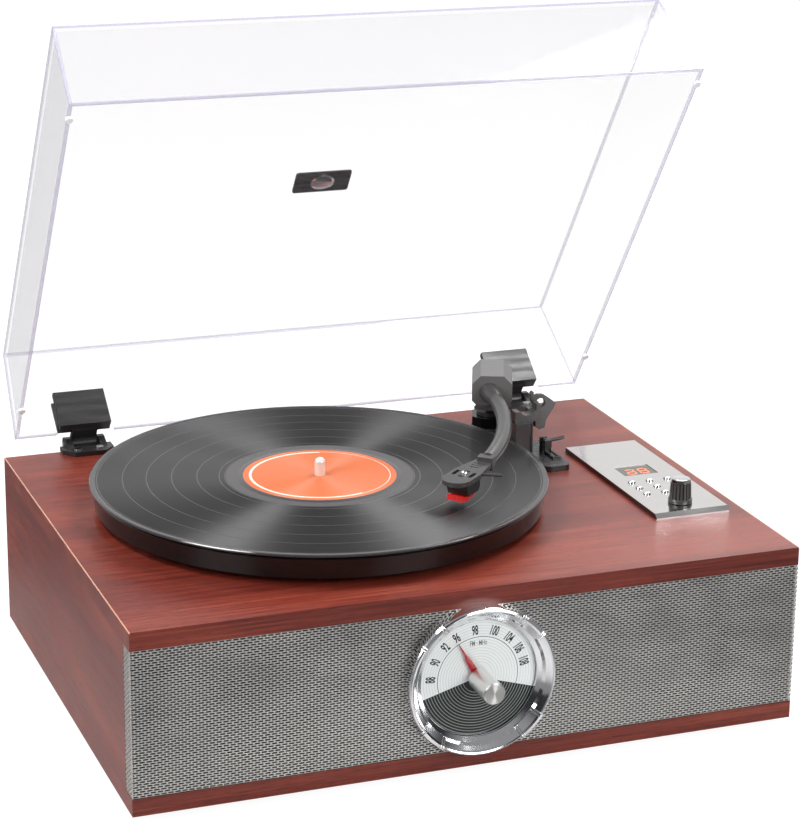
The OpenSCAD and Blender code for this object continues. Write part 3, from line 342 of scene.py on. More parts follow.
# %% Mahogany
def mahogany(name, turn, seed):
    """Wood whose grain runs along X, or along Y when it is turned."""
    made, tree, shader, where = begin(name)
    way = place(tree, "Mapping", Vector=where, Rotation=(0, 0, turn))
    wood = lay_on(tree, "wood grain", Vector=way.outputs[0], Seed=seed)
    broad = place(tree, "ValToRGB", Fac=calc(tree, "MULTIPLY_ADD", wood.outputs["Streak"], 0.8,
                                             calc(tree, "MULTIPLY", wood.outputs["Figure"],
                                                  0.2)))
    ramp = broad.color_ramp
    ramp.elements[0].position, ramp.elements[0].color = 0.26, (0.085, 0.011, 0.007, 1)
    ramp.elements[1].position, ramp.elements[1].color = 0.76, (0.31, 0.062, 0.034, 1)
    middle = ramp.elements.new(0.5)
    middle.color = (0.185, 0.027, 0.015, 1)
    colour = blended(tree, calc(tree, "MULTIPLY", wood.outputs["Pores"], 0.5),
                     broad.outputs["Color"], (0.05, 0.008, 0.006, 1))
    # Painted highlight: a thin light line along the top edges at both ends of the cabinet, where a
    # rounded corner would catch the light.
    place_in = place(tree, "SeparateXYZ", Vector=where)
    end = calc(tree, "GREATER_THAN", calc(tree, "ABSOLUTE", place_in.outputs["X"]),
               218.35 * MM)
    painted_highlight_top = calc(tree, "GREATER_THAN", place_in.outputs["Z"], TOP - 0.65 * MM)
    colour = blended(tree, calc(tree, "MULTIPLY", calc(tree, "MULTIPLY", end, painted_highlight_top), 0.75),
                     colour, (0.72, 0.40, 0.28, 1))
    tree.links.new(colour, shader.inputs["Base Color"])
    tree.links.new(between(tree, wood.outputs["Streak"], 0.3, 0.7, 0.28, 0.38),
                   shader.inputs["Roughness"])
    raise_by(tree, shader, calc(tree, "SUBTRACT", wood.outputs["Streak"],
                                wood.outputs["Pores"]), 0.03 * MM)
    return made


dress(mahogany("mahogany across", 0.0, 0.0), "top_board", "bottom_board")
dress(mahogany("mahogany along", math.pi / 2, 3.7), "left_side_panel", "right_side_panel")

# %% [markdown]
# The dial bezel and the small buttons are polished chrome. Chrome is a pale metal with very
# little roughness, and what makes it look real is what it mirrors. The spindle is satin steel,
# because in chrome it would mirror the label and vanish.

# %% Metals
chrome = finish("chrome", (0.90, 0.905, 0.92), rough=0.10, metal=1.0, spread=0.03, slack=0.03,
                bump=0.001)
steel = finish("steel", (0.62, 0.62, 0.63), rough=0.3, metal=1.0, spread=0.06, bump=0.003)
brass = finish("brass", (0.78, 0.55, 0.24), rough=0.25, metal=1.0, spread=0.06, bump=0.003)
screen_metal = finish("grille metal", (0.66, 0.64, 0.61), rough=0.40, metal=0.85, spread=0.05,
                      bump=0.004)
spindle_steel = finish("spindle steel", (0.86, 0.83, 0.78), rough=0.26, metal=0.3, spread=0.03,
                       bump=0.001)
dress(spindle_steel, "spindle")
dress(chrome, "dial_bezel", "pivot_pin", "mode_button", "previous_button",
      "next_button", "play_button", "stop_button", "record_button", "delete_button")
dress(steel, "tuning_shaft", "platter_bearing", "drive_motor", "hinge_pins", "wood_screws")
dress(brass, "motor_pulley")
dress(screen_metal, "speaker_grille")

# %% [markdown]
# The plastics differ mostly in gloss: the platter and the pivot housing are piano black, the
# hinges and the rest are satin, and the arm is a painted grey with a soft sheen.

# %% Plastics, paint and rubber
gloss_black = finish("gloss black", (0.006, 0.006, 0.006), rough=0.12, spread=0.3, slack=0.05,
                     bump=0.002)
satin_black = finish("satin black", (0.022, 0.021, 0.021), rough=0.36, spread=0.3, bump=0.01)
matte_black = finish("matte black", (0.018, 0.018, 0.018), rough=0.7, spread=0.3, bump=0.02)
arm_paint = finish("arm paint", (0.070, 0.068, 0.067), rough=0.22, metal=0.25, spread=0.06,
                   grain=2600.0, bump=0.002, slack=0.02)
weight_paint = finish("weight paint", (0.19, 0.185, 0.183), rough=0.36, metal=0.25, spread=0.06,
                      grain=2600.0, bump=0.004, slack=0.02)
grey_plastic = finish("grey plastic", (0.055, 0.053, 0.052), rough=0.3, spread=0.2, bump=0.01)
pad_black = finish("pad plastic", (0.028, 0.027, 0.027), rough=0.24, spread=0.25, bump=0.006)
crimson = finish("pointer paint", (0.42, 0.016, 0.022), rough=0.22, spread=0.1, bump=0.002,
                 Coat_Weight=0.3)
red_plastic = finish("red plastic", (0.85, 0.012, 0.010), rough=0.25, spread=0.08, bump=0.004,
                     Coat_Weight=0.4)
rubber = finish("rubber", (0.03, 0.03, 0.03), rough=0.75, spread=0.25, bump=0.03)
felt = finish("felt", (0.045, 0.045, 0.048), rough=0.95, spread=0.35, grain=3200.0, bump=0.06,
              Sheen_Weight=0.5)
board_black = finish("black board", (0.012, 0.011, 0.011), rough=0.85, spread=0.3, bump=0.03)
dress(gloss_black, "platter", "pivot_housing")
dress(satin_black, "left_hinge_base", "right_hinge_base", "left_hinge_leaf",
      "right_hinge_leaf", "cue_lever", "cartridge", "pivot_post")
dress(arm_paint, "arm_tube", "headshell")
dress(weight_paint, "counterweight")
dress(grey_plastic, "arm_rest", "rest_clip", "lift_platform")
dress(pad_black, "tonearm_base")
dress(red_plastic, "stylus")
dress(crimson, "dial_pointer")
dress(rubber, "rubber_feet", "drive_belt")
dress(felt, "slipmat")
dress(matte_black, "left_speaker", "right_speaker", "tuning_capacitor", "volume_control",
      "rear_sockets")
dress(board_black, "front_baffle", "rear_panel")

# %% [markdown]
# Circuit boards are green lacquer over copper tracks. Nobody sees them with the cabinet closed,
# but an open model shows them, so the tracks are drawn with a brick pattern.

# %% Circuit boards
def circuit(name):
    made, tree, shader, where = begin(name)
    tracks = place(tree, "TexBrick", {"offset": 0.35}, Vector=where, Scale=55.0,
                   Color1=(0.010, 0.075, 0.030, 1), Color2=(0.014, 0.105, 0.042, 1),
                   Mortar=(0.03, 0.17, 0.07, 1), Mortar_Size=0.05)
    touch = touched(tree, where, 1500.0)
    tree.links.new(blended(tree, calc(tree, "MULTIPLY", touch.outputs["Tone"], 0.3),
                           tracks.outputs["Color"], (0.02, 0.06, 0.03, 1)),
                   shader.inputs["Base Color"])
    wiped(tree, shader, touch, 0.25, 0.45)
    raise_by(tree, shader, tracks.outputs["Fac"], 0.03 * MM)
    return made


dress(circuit("green board"), "main_board", "control_board")

# %% [markdown]
# Many pieces here are turned or pressed in circles: the record, the dial and the brushed end
# of the knob. One group turns object coordinates into a distance from a centre and an angle,
# and everything round is drawn from those two numbers.

# %% Shared group: round
round_group, goes_in, goes_out = new_group("round", [
    ("Across", FLOAT, 0.0), ("Along", FLOAT, 0.0)],
    [("Distance", FLOAT), ("Angle", FLOAT)])
flat = place(round_group, "CombineXYZ", X=goes_in.outputs["Across"], Y=goes_in.outputs["Along"])
length = place(round_group, "VectorMath", {"operation": "LENGTH"}, n0=flat.outputs[0])
angle = calc(round_group, "ARCTAN2", goes_in.outputs["Along"], goes_in.outputs["Across"])
round_group.links.new(length.outputs["Value"], goes_out.inputs["Distance"])
round_group.links.new(angle, goes_out.inputs["Angle"])


def from_centre(tree, where, centre, upright=False):
    """Distance and angle round a centre, flat or facing the front."""
    moved = place(tree, "VectorMath", {"operation": "SUBTRACT"}, n0=where, n1=centre)
    parts = place(tree, "SeparateXYZ", Vector=moved.outputs[0])
    made = lay_on(tree, "round", Across=parts.outputs["X"],
                  Along=parts.outputs["Z" if upright else "Y"])
    return made.outputs["Distance"], made.outputs["Angle"], moved.outputs[0]


def line_at(tree, distance, radius, half):
    """1 on a ring of that radius and 0 elsewhere."""
    off = calc(tree, "ABSOLUTE", calc(tree, "SUBTRACT", distance, radius))
    return between(tree, off, half * 0.5, half * 1.5, 1.0, 0.0)


def spread_outwards(tree, shader, moved, plane):
    """Points the tangent away from the centre, so fine circles spread the light across them."""
    outwards = place(tree, "VectorMath", {"operation": "MULTIPLY"}, n0=moved, n1=plane)
    in_world = place(tree, "VectorTransform", {
        "vector_type": "VECTOR", "convert_from": "OBJECT", "convert_to": "WORLD"},
        Vector=outwards.outputs[0])
    unit = place(tree, "VectorMath", {"operation": "NORMALIZE"}, n0=in_world.outputs[0])
    tree.links.new(unit.outputs[0], shader.inputs["Tangent"])


print("group:", round_group.name)

# %% [markdown]
# A record mirrors a lamp as a bright fan, because thousands of fine grooves spread the light
# across themselves. The shader's anisotropy does just that once it knows which way the grooves
# run: its tangent points out from the spindle, across the grooves. The lead-in, the gaps between
# the tracks and the smooth ring round the label are rings of their own: smoother, and painted a
# lighter grey as a painted sheen for what their smooth vinyl mirrors. The label is plain orange
# paper with a thin pale ring.

# %% Record
vinyl, tree, shader, where = begin("vinyl and label")
far, turned, moved = from_centre(tree, where, tuple(SPINDLE))
groove_way = place(tree, "CombineXYZ", X=calc(tree, "MULTIPLY", far, 2600.0))
grooves = place(tree, "TexNoise", Vector=groove_way.outputs[0], Scale=1.0, Detail=3.0)
loud_way = place(tree, "CombineXYZ", X=calc(tree, "MULTIPLY", far, 330.0))
loud = place(tree, "TexNoise", Vector=loud_way.outputs[0], Scale=1.0, Detail=2.0)
gaps = None
for radius in (62.3, 66.0, 80.5, 97.0, 113.5, 129.0, 145.6):
    ring = line_at(tree, far, radius * MM, 0.35 * MM)
    gaps = ring if gaps is None else calc(tree, "MAXIMUM", gaps, ring)
edge_land = between(tree, far, 146.2 * MM, 147.2 * MM)
label_land = between(tree, far, 61.4 * MM, 61.9 * MM, 1.0, 0.0)
smooth = calc(tree, "MAXIMUM", calc(tree, "MAXIMUM", edge_land, label_land),
              calc(tree, "MULTIPLY", gaps, 0.8))
black = blended(tree, loud.outputs["Fac"], (0.002, 0.002, 0.002, 1), (0.006, 0.005, 0.006, 1))
# Painted sheen: the track gaps, the lead-in and the ring round the label are painted lighter grey,
# standing in for the light their smooth vinyl mirrors.
black = blended(tree, calc(tree, "MULTIPLY", gaps, 0.22), black, (0.09, 0.086, 0.087, 1))
black = blended(tree, calc(tree, "MAXIMUM", label_land, edge_land), black,
                (0.034, 0.030, 0.032, 1))
touch = touched(tree, where, 1400.0)
paper_tone = toned(tree, touch, (0.60, 0.125, 0.034), (0.70, 0.18, 0.060))
off_right = calc(tree, "GREATER_THAN", calc(tree, "ABSOLUTE", turned), 1.25)
rings = calc(tree, "MAXIMUM", line_at(tree, far, 46.3 * MM, 0.22 * MM),
             calc(tree, "MULTIPLY", line_at(tree, far, 45.4 * MM, 0.6 * MM), off_right))
paper_tone = blended(tree, rings, paper_tone, (0.92, 0.84, 0.74, 1))
pressed = line_at(tree, far, 17.0 * MM, 0.5 * MM)
paper_tone = blended(tree, calc(tree, "MULTIPLY", pressed, 0.4), paper_tone,
                     (0.55, 0.14, 0.05, 1))
on_label = between(tree, far, 50.3 * MM, 50.6 * MM, 1.0, 0.0)
tree.links.new(blended(tree, on_label, black, paper_tone), shader.inputs["Base Color"])
shine = blended(tree, smooth, (0.50, 0.50, 0.50, 1), (0.16, 0.16, 0.16, 1))
tree.links.new(blended(tree, on_label, shine, (0.75, 0.75, 0.75, 1)),
               shader.inputs["Roughness"])
cut = calc(tree, "MULTIPLY", grooves.outputs["Fac"], calc(tree, "SUBTRACT", 1.0, smooth))
raised = calc(tree, "MULTIPLY_ADD", on_label, 3.0, cut)
raise_by(tree, shader, calc(tree, "MULTIPLY_ADD", pressed, 0.6, raised), 0.008 * MM)
spread_outwards(tree, shader, moved, (1, 1, 0))
plainly(shader, Anisotropic=0.97, Specular_IOR_Level=0.8, Coat_Weight=0.12, Coat_Roughness=0.05)
dress(vinyl, "record")

# %% [markdown]
# The dial is a printed card: white above and black below a shallow angle, with fine rings over
# both and a thin black circle inside the numbers. A printed pattern needs sharp edges, so each
# is a comparison and no noise.

# %% Dial card
card, tree, shader, where = begin("dial card")
far, turned, moved = from_centre(tree, where, (0, 0, DIAL_Z), upright=True)
below = calc(tree, "MULTIPLY", calc(tree, "LESS_THAN", turned, math.radians(-16.8)),
             calc(tree, "GREATER_THAN", turned, math.radians(-163.6)))
stripe = calc(tree, "FRACT", calc(tree, "DIVIDE", far, 1.83 * MM))
fine = between(tree, calc(tree, "ABSOLUTE", calc(tree, "SUBTRACT", stripe, 0.5)), 0.08, 0.14,
               1.0, 0.0)
ringed = calc(tree, "MULTIPLY", fine, between(tree, far, 8.5 * MM, 8.8 * MM))
touch = touched(tree, where, 2200.0)
white = toned(tree, touch, (0.80, 0.84, 0.83), (0.90, 0.93, 0.92))
white = blended(tree, calc(tree, "MULTIPLY", ringed, 0.42), white, (0.42, 0.50, 0.48, 1))
white = blended(tree, line_at(tree, far, 26.5 * MM, 0.18 * MM), white, (0.01, 0.01, 0.01, 1))
dark = blended(tree, calc(tree, "MULTIPLY", ringed, 0.6), (0.005, 0.006, 0.006, 1),
               (0.50, 0.56, 0.54, 1))
tree.links.new(blended(tree, below, white, dark), shader.inputs["Base Color"])
wiped(tree, shader, touch, 0.38, 0.5)
raise_by(tree, shader, ringed, 0.01 * MM)
dress(card, "dial_face")

# %% [markdown]
# The cover and the lens are thin clear plastic. A thin sheet hardly bends what is behind it, so
# it needs no refraction: it is mostly see-through, a little less so where it is seen at a low
# angle, which Layer Weight tells. Its cut edges and corners look lavender, because light
# travels a long way inside them. The corners are found by turning the coordinates back to the
# closed cover, whose walls lean inwards, and asking where two of its sides are close at once.

# %% Clear plastics
RIM_Z, COVER_HIGH = 119.7 * MM, 71 * MM
RIM_HALF, RIM_FRONT, RIM_REAR = 211.2 * MM, FRONT + 2 * MM, 162.7 * MM


def clear(name, tint, least, low_angle, edge=None):
    """Thin clear plastic: least is how much it hides straight on, low_angle how much more."""
    made, tree, shader, where = begin(name)
    touch = touched(tree, where, 500.0)
    body = blended(tree, touch.outputs["Tone"], shade(tint, 0.96), shade(tint, 1.04))
    turned_away = place(tree, "LayerWeight", Blend=0.35).outputs["Facing"]
    hides = calc(tree, "MULTIPLY_ADD", calc(tree, "POWER", turned_away, 3.0), low_angle, least)
    if edge is not None:
        corner, lavender = edge(tree, where)
        body = blended(tree, corner, body, lavender)
        hides = calc(tree, "MAXIMUM", hides, calc(tree, "MULTIPLY", corner, 0.5))
    tree.links.new(body, shader.inputs["Base Color"])
    tree.links.new(hides, shader.inputs["Alpha"])
    wiped(tree, shader, touch, 0.03, 0.06)
    return made


def cover_corners(tree, where):
    """1 along the cover's corners and its open rim, in the closed cover's coordinates."""
    shut = place(tree, "VectorRotate", {"rotation_type": "X_AXIS"}, Vector=where,
                 Center=tuple(HINGE), Angle=OPEN)
    parts = place(tree, "SeparateXYZ", Vector=shut.outputs[0])
    up_wall = calc(tree, "SUBTRACT", parts.outputs["Z"], RIM_Z)
    lean = calc(tree, "MULTIPLY", up_wall, math.tan(math.radians(4.2)))
    side = calc(tree, "SUBTRACT", calc(tree, "SUBTRACT", RIM_HALF, lean),
                calc(tree, "ABSOLUTE", parts.outputs["X"]))
    ahead_of = calc(tree, "SUBTRACT", calc(tree, "SUBTRACT", parts.outputs["Y"], RIM_FRONT), lean)
    back_of = calc(tree, "SUBTRACT", calc(tree, "SUBTRACT", RIM_REAR, parts.outputs["Y"]), lean)
    long = calc(tree, "MINIMUM", ahead_of, back_of)
    lid = calc(tree, "SUBTRACT", COVER_HIGH, up_wall)
    second = calc(tree, "MAXIMUM", calc(tree, "MINIMUM", side, long),
                  calc(tree, "MINIMUM", calc(tree, "MAXIMUM", side, long), lid))
    line = between(tree, second, 1.0 * MM, 2.8 * MM, 1.0, 0.0)
    rim = between(tree, up_wall, 0.4 * MM, 1.4 * MM, 1.0, 0.0)
    return calc(tree, "MAXIMUM", line, rim), (0.44, 0.41, 0.60, 1)


dress(clear("cover plastic", (0.50, 0.485, 0.53), 0.075, 0.50, cover_corners), "dust_cover")
dress(clear("lens plastic", (0.10, 0.10, 0.10), 0.01, 0.20), "dial_lens")

# %% [markdown]
# The control panel is a mirror-bright silver plate with black cut sides. A small dark window
# in it covers the display. The plate's top face is told from its sides by its height.

# %% Control panel and display window
plate, tree, shader, where = begin("panel plate")
parts = place(tree, "SeparateXYZ", Vector=where)
panel_low, panel_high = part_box("control_panel")
is_top = calc(tree, "GREATER_THAN", parts.outputs["Z"], panel_high.z - 0.35 * MM)
is_front = calc(tree, "LESS_THAN", parts.outputs["Y"], panel_low.y + 3.0 * MM)
inside_left = calc(tree, "GREATER_THAN", parts.outputs["X"], panel_low.x + 0.05 * MM)
inside_right = calc(tree, "LESS_THAN", parts.outputs["X"], panel_high.x - 0.05 * MM)
bevel = calc(tree, "MULTIPLY", is_front, calc(tree, "MULTIPLY", inside_left, inside_right))
bright = calc(tree, "MAXIMUM", is_top, bevel)
touch = touched(tree, where, 1600.0, Clouds=9.0)
silver = toned(tree, touch, (0.74, 0.71, 0.70), (0.80, 0.78, 0.765))
tree.links.new(blended(tree, bright, (0.014, 0.013, 0.013, 1), silver),
               shader.inputs["Base Color"])
tree.links.new(bright, shader.inputs["Metallic"])
wiped(tree, shader, touch, 0.10, 0.16)
raise_by(tree, shader, touch.outputs["Height"], 0.001 * MM)
dress(plate, "control_panel")
smoked = finish("smoked window", (0.080, 0.076, 0.058), rough=0.1, spread=0.1, slack=0.03,
                bump=0.001, Coat_Weight=0.5)
dress(smoked, "display_window")

# %% [markdown]
# The tuning knob is turned aluminium: its end is brushed in circles, so it shows bright fans,
# and its side is painted paler than its end, a painted highlight on the side and painted shade on
# the end. The volume knob is dark moulded plastic with a bright cap.

# %% Knobs
spun, tree, shader, where = begin("spun aluminium")
far, turned, moved = from_centre(tree, where, (0, 0, DIAL_Z), upright=True)
ring_way = place(tree, "CombineXYZ", X=calc(tree, "MULTIPLY", far, 5200.0))
turning = place(tree, "TexNoise", Vector=ring_way.outputs[0], Scale=1.0, Detail=2.0)
on_end = calc(tree, "LESS_THAN", place(tree, "SeparateXYZ", Vector=where).outputs["Y"],
              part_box("tuning_knob")[0].y + 0.75 * MM)
# The end is painted darker and the side paler than one aluminium would be: painted shade on the
# end and a painted highlight on the side. The turning rings on the end are real.
face = blended(tree, turning.outputs["Fac"], (0.60, 0.585, 0.57, 1), (0.80, 0.79, 0.77, 1))
tree.links.new(blended(tree, on_end, (0.88, 0.875, 0.86, 1), face), shader.inputs["Base Color"])
tree.links.new(between(tree, turning.outputs["Fac"], 0.3, 0.7, 0.34, 0.44),
               shader.inputs["Roughness"])
raise_by(tree, shader, turning.outputs["Fac"], 0.004 * MM)
spread_outwards(tree, shader, moved, (1, 0, 1))
plainly(shader, Metallic=1.0, Anisotropic=0.9)
dress(spun, "tuning_knob")
knob, tree, shader, where = begin("volume knob plastic")
parts = place(tree, "SeparateXYZ", Vector=where)
knob_low, knob_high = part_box("volume_knob")
cap = calc(tree, "GREATER_THAN", parts.outputs["Z"], knob_high.z - 2.8 * MM)
touch = touched(tree, where, 1800.0)
body = toned(tree, touch, (0.050, 0.049, 0.048), (0.080, 0.078, 0.077))
tree.links.new(blended(tree, cap, body, (0.80, 0.80, 0.82, 1)), shader.inputs["Base Color"])
tree.links.new(cap, shader.inputs["Metallic"])
tree.links.new(blended(tree, cap, (0.24, 0.24, 0.24, 1), (0.08, 0.08, 0.08, 1)),
               shader.inputs["Roughness"])
raise_by(tree, shader, touch.outputs["Height"], 0.003 * MM)
dress(knob, "volume_knob")

# %% [markdown]
# The cover carries soft clear bumpers and one small black plate in its middle. They are one
# solid group, so the material picks the plate by its place near x = 0.

# %% Cover fittings
fitting, tree, shader, where = begin("plate and bumpers")
parts = place(tree, "SeparateXYZ", Vector=where)
middle = calc(tree, "LESS_THAN", calc(tree, "ABSOLUTE", parts.outputs["X"]), 30 * MM)
touch = touched(tree, where, 1200.0)
pale = toned(tree, touch, (0.80, 0.80, 0.83), (0.92, 0.92, 0.94))
ink = toned(tree, touch, (0.010, 0.010, 0.011), (0.022, 0.021, 0.022))
tree.links.new(blended(tree, middle, pale, ink), shader.inputs["Base Color"])
wiped(tree, shader, touch, 0.2, 0.34)
raise_by(tree, shader, touch.outputs["Height"], 0.004 * MM)
dress(fitting, "cover_fittings")

# %% [markdown]
# The speaker screen is one folded sheet with thousands of short staggered slots. One cell is
# modelled on its own: a flat six-sided slot inside a small oblong. Three array modifiers copy it
# along a row, into a second row moved by half a cell, and up the front. The midpoints on the
# cell's long edges meet the corners of the next row, so the sheet joins into one skin.

# %% One cell of the speaker screen
def settle():
    """Writes the active object's place, turn and size into its points."""
    bpy.ops.object.transform_apply(location=True, rotation=True, scale=True)


def only(obj):
    """Selects one object alone and makes it the active one."""
    bpy.ops.object.select_all(action="DESELECT")
    obj.select_set(True)
    bpy.context.view_layer.objects.active = obj


def open_up():
    """Goes into edit mode with everything selected."""
    bpy.ops.object.mode_set(mode="EDIT")
    bpy.ops.mesh.select_all(action="SELECT")


def leave():
    """Goes back to object mode."""
    bpy.ops.object.mode_set(mode="OBJECT")


def cut_at(x, way):
    """Cuts everything straight at x and drops what lies beyond, left for -1 and right for 1."""
    bpy.ops.mesh.select_all(action="SELECT")
    bpy.ops.mesh.bisect(plane_co=(x, 0, 0), plane_no=(way, 0, 0), clear_outer=True)


def put_down(obj, matrix):
    """Moves what was modelled at the origin to its own place."""
    obj.matrix_world = matrix
    only(obj)
    settle()


def joined(parts, name):
    """Joins several objects into one."""
    bpy.ops.object.select_all(action="DESELECT")
    for part in parts:
        part.select_set(True)
    bpy.context.view_layer.objects.active = parts[0]
    bpy.ops.object.join()
    whole = bpy.context.object
    whole.name = name
    return whole


def draw(x, y, z):
    """Extrudes what is selected, in millimetres."""
    bpy.ops.mesh.extrude_region_move(TRANSFORM_OT_translate={"value": (x * MM, y * MM, z * MM)})


def step_in(inwards, rise):
    """Insets the selected face and raises it, in millimetres."""
    bpy.ops.mesh.inset(thickness=inwards * MM)
    bpy.ops.transform.translate(value=(0, 0, rise * MM))


def pick(obj, kind, test):
    """In edit mode, selects only what passes the test, by place in millimetres."""
    bpy.ops.mesh.select_all(action="DESELECT")
    leave()
    parts = {"VERT": obj.data.vertices, "EDGE": obj.data.edges, "FACE": obj.data.polygons}[kind]
    for part in parts:
        if kind == "VERT":
            at = part.co
        elif kind == "EDGE":
            at = (obj.data.vertices[part.vertices[0]].co
                  + obj.data.vertices[part.vertices[1]].co) / 2
        else:
            at = part.center
        part.select = bool(test(at * 1000, part))
    bpy.ops.object.mode_set(mode="EDIT")
    bpy.ops.mesh.select_mode(type=kind)


def start(name, add, **where):
    """Adds a primitive with nothing else selected and opens it for editing."""
    bpy.ops.object.select_all(action="DESELECT")
    add(**where)
    obj = bpy.context.object
    obj.name = name
    obj.data.name = name
    settle()
    open_up()
    return obj


def apply_all(obj):
    """Applies the modifiers in their order."""
    bpy.context.view_layer.objects.active = obj
    for modifier in list(obj.modifiers):
        bpy.ops.object.modifier_apply(modifier=modifier.name)


def closed(smooth=None):
    """Leaves edit mode with doubles merged and faces turned outwards."""
    bpy.ops.mesh.select_all(action="SELECT")
    bpy.ops.mesh.remove_doubles(threshold=0.000004)
    bpy.ops.mesh.normals_make_consistent(inside=False)
    leave()
    if smooth is not None:
        bpy.ops.object.shade_smooth_by_angle(angle=math.radians(smooth))


def worn(obj, material, body):
    """Gives a finished piece its material and the body it rides on."""
    obj.data.materials.clear()
    obj.data.materials.append(material)
    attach(obj, body)
    print(obj.name, "rides on", body, "with", len(obj.data.polygons), "faces")


CELL_W, CELL_H = 438 / 102 * MM, 93.6 / 60 * MM
SHEET_T = 0.8 * MM
SCREEN_FOOT = DIAL_Z - 46.8 * MM
FOLD = 13.7 * MM
DIAL_CLEAR = 43.5


def screen_cell(name):
    """One cell with its middle at the origin, facing the front."""
    obj = start(name, bpy.ops.mesh.primitive_circle_add, vertices=8, radius=1.0 * MM,
                rotation=(math.pi / 2, 0, 0))
    bpy.ops.transform.resize(value=(CELL_W / 2 / MM, 1, CELL_H / 2 / MM))
    pick(obj, "VERT", lambda at, v: abs(at.x) > 0.3 and abs(at.z) > 0.1)
    bpy.ops.transform.resize(value=(math.sqrt(2), 1, math.sqrt(2)))
    bpy.ops.mesh.select_all(action="SELECT")
    bpy.ops.mesh.duplicate()
    bpy.ops.transform.resize(value=(1.82 * MM / (CELL_W / 2), 1, 0.50 * MM / (CELL_H / 2)))
    pick(obj, "VERT", lambda at, v: 1 < abs(at.x) < 1.9 and 0.2 < abs(at.z) < 0.6)
    bpy.ops.transform.resize(value=(0.80, 1, 1))
    bpy.ops.mesh.select_mode(type="EDGE")
    bpy.ops.mesh.select_all(action="SELECT")
    bpy.ops.mesh.bridge_edge_loops()
    leave()
    return obj


def repeat(obj, count, step):
    """An array modifier that also merges what meets."""
    array = obj.modifiers.new("repeat", "ARRAY")
    array.count = count
    array.use_relative_offset = False
    array.use_constant_offset = True
    array.constant_offset_displace = step
    array.use_merge_vertices = True
    array.merge_threshold = 0.00002


def spread(obj, columns):
    """Copies the cell along a row, into a shifted second row and up the front."""
    repeat(obj, columns, (CELL_W, 0, 0))
    repeat(obj, 2, (CELL_W / 2, 0, CELL_H))
    repeat(obj, 30, (0, 0, 2 * CELL_H))
    apply_all(obj)


def thicken(obj, by):
    """Gives a skin its thickness, away from the side it faces."""
    wall = obj.modifiers.new("wall", "SOLIDIFY")
    wall.thickness = by
    wall.offset = -1
    apply_all(obj)


def mirrored(obj, name):
    """A copy on the other side of the cabinet, with its faces turned outwards again."""
    only(obj)
    bpy.ops.object.duplicate()
    twin = bpy.context.object
    twin.name = name
    twin.data.name = name
    twin.scale = (-1, 1, 1)
    settle()
    open_up()
    bpy.ops.mesh.normals_make_consistent(inside=False)
    leave()
    return twin


print("a cell is", round(CELL_W / MM, 3), "by", round(CELL_H / MM, 3), "mm")

# %% [markdown]
# The sheet is built in two halves that meet behind the dial, because one mesh of all the slots
# would be very heavy. Cells that the dial would cover are taken out, the end of the row is cut
# straight with bisect, and Solidify gives the sheet its thickness.

# %% Speaker screen, front halves
left_half = screen_cell("speaker_screen_left")
spread(left_half, 52)
open_up()
bpy.ops.transform.translate(value=(-END - CELL_W / 2, FRONT, SCREEN_FOOT + CELL_H / 2))
cut_at(-END, -1)
cut_at(0, 1)
pick(left_half, "FACE", lambda at, f: math.hypot(at.x, at.z - DIAL_Z / MM) < DIAL_CLEAR)
bpy.ops.mesh.delete(type="FACE")
bpy.ops.mesh.select_all(action="SELECT")
bpy.ops.mesh.remove_doubles(threshold=0.00001)
if left_half.data.polygons[0].normal.y > 0:
    bpy.ops.mesh.flip_normals()
leave()
thicken(left_half, SHEET_T)
right_half = mirrored(left_half, "speaker_screen_right")
for half in (left_half, right_half):
    worn(half, screen_metal, "cabinet")
    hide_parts("speaker_grille")

# %% [markdown]
# The same sheet folds round both ends of the cabinet for a short way. A narrow strip of cells
# is turned to face the side. Its row ends where the front's row ends, so the fold looks bent.

# %% Speaker screen, folded ends
left_end = screen_cell("speaker_screen_left_end")
spread(left_end, 4)
open_up()
bpy.ops.transform.translate(value=(0, 0, SCREEN_FOOT + CELL_H / 2))
cut_at(0, -1)
cut_at(FOLD - SHEET_T, 1)
leave()
left_end.rotation_euler = (0, 0, -math.pi / 2)
left_end.location = (-END, FRONT + FOLD, 0)
settle()
open_up()
if left_end.data.polygons[0].normal.x > 0:
    bpy.ops.mesh.flip_normals()
leave()
thicken(left_end, SHEET_T)
right_end = mirrored(left_end, "speaker_screen_right_end")
for end in (left_end, right_end):
    worn(end, screen_metal, "cabinet")

# %% [markdown]
# Lettering on the dial is only what every radio dial has: numbers of the band and its unit.
# Each word starts as a text object, becomes a mesh, is squeezed narrow, moved out to its radius
# and turned to its angle. The numbers are joined into one thin layer of black ink, and the
# band's name is a layer of its own in grey.

# %% Dial numbers
ink_black = finish("printing ink", (0.012, 0.013, 0.013), rough=0.5, spread=0.25, bump=0.002)
CARD_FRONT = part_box("dial_face")[0].y


def word(text, size, squeeze, out, degrees, bold=0.2):
    """A word printed at a distance from the dial's middle, its feet towards the middle."""
    bpy.ops.object.select_all(action="DESELECT")
    bpy.ops.object.text_add()
    obj = bpy.context.object
    obj.data.body = text
    obj.data.align_x = "CENTER"
    obj.data.align_y = "CENTER"
    obj.data.size = size * MM
    obj.data.extrude = 0.02 * MM
    obj.data.offset = bold * MM
    obj.data.resolution_u = 3
    bpy.ops.object.convert(target="MESH")
    obj.scale = (squeeze, 1, 1)
    settle()
    obj.location = (0, out * MM, 0)
    settle()
    obj.rotation_euler = (0, 0, math.radians(degrees - 90))
    settle()
    obj.rotation_euler = (math.pi / 2, 0, 0)
    obj.location = (0, CARD_FRONT - 0.03 * MM, DIAL_Z)
    settle()
    return obj


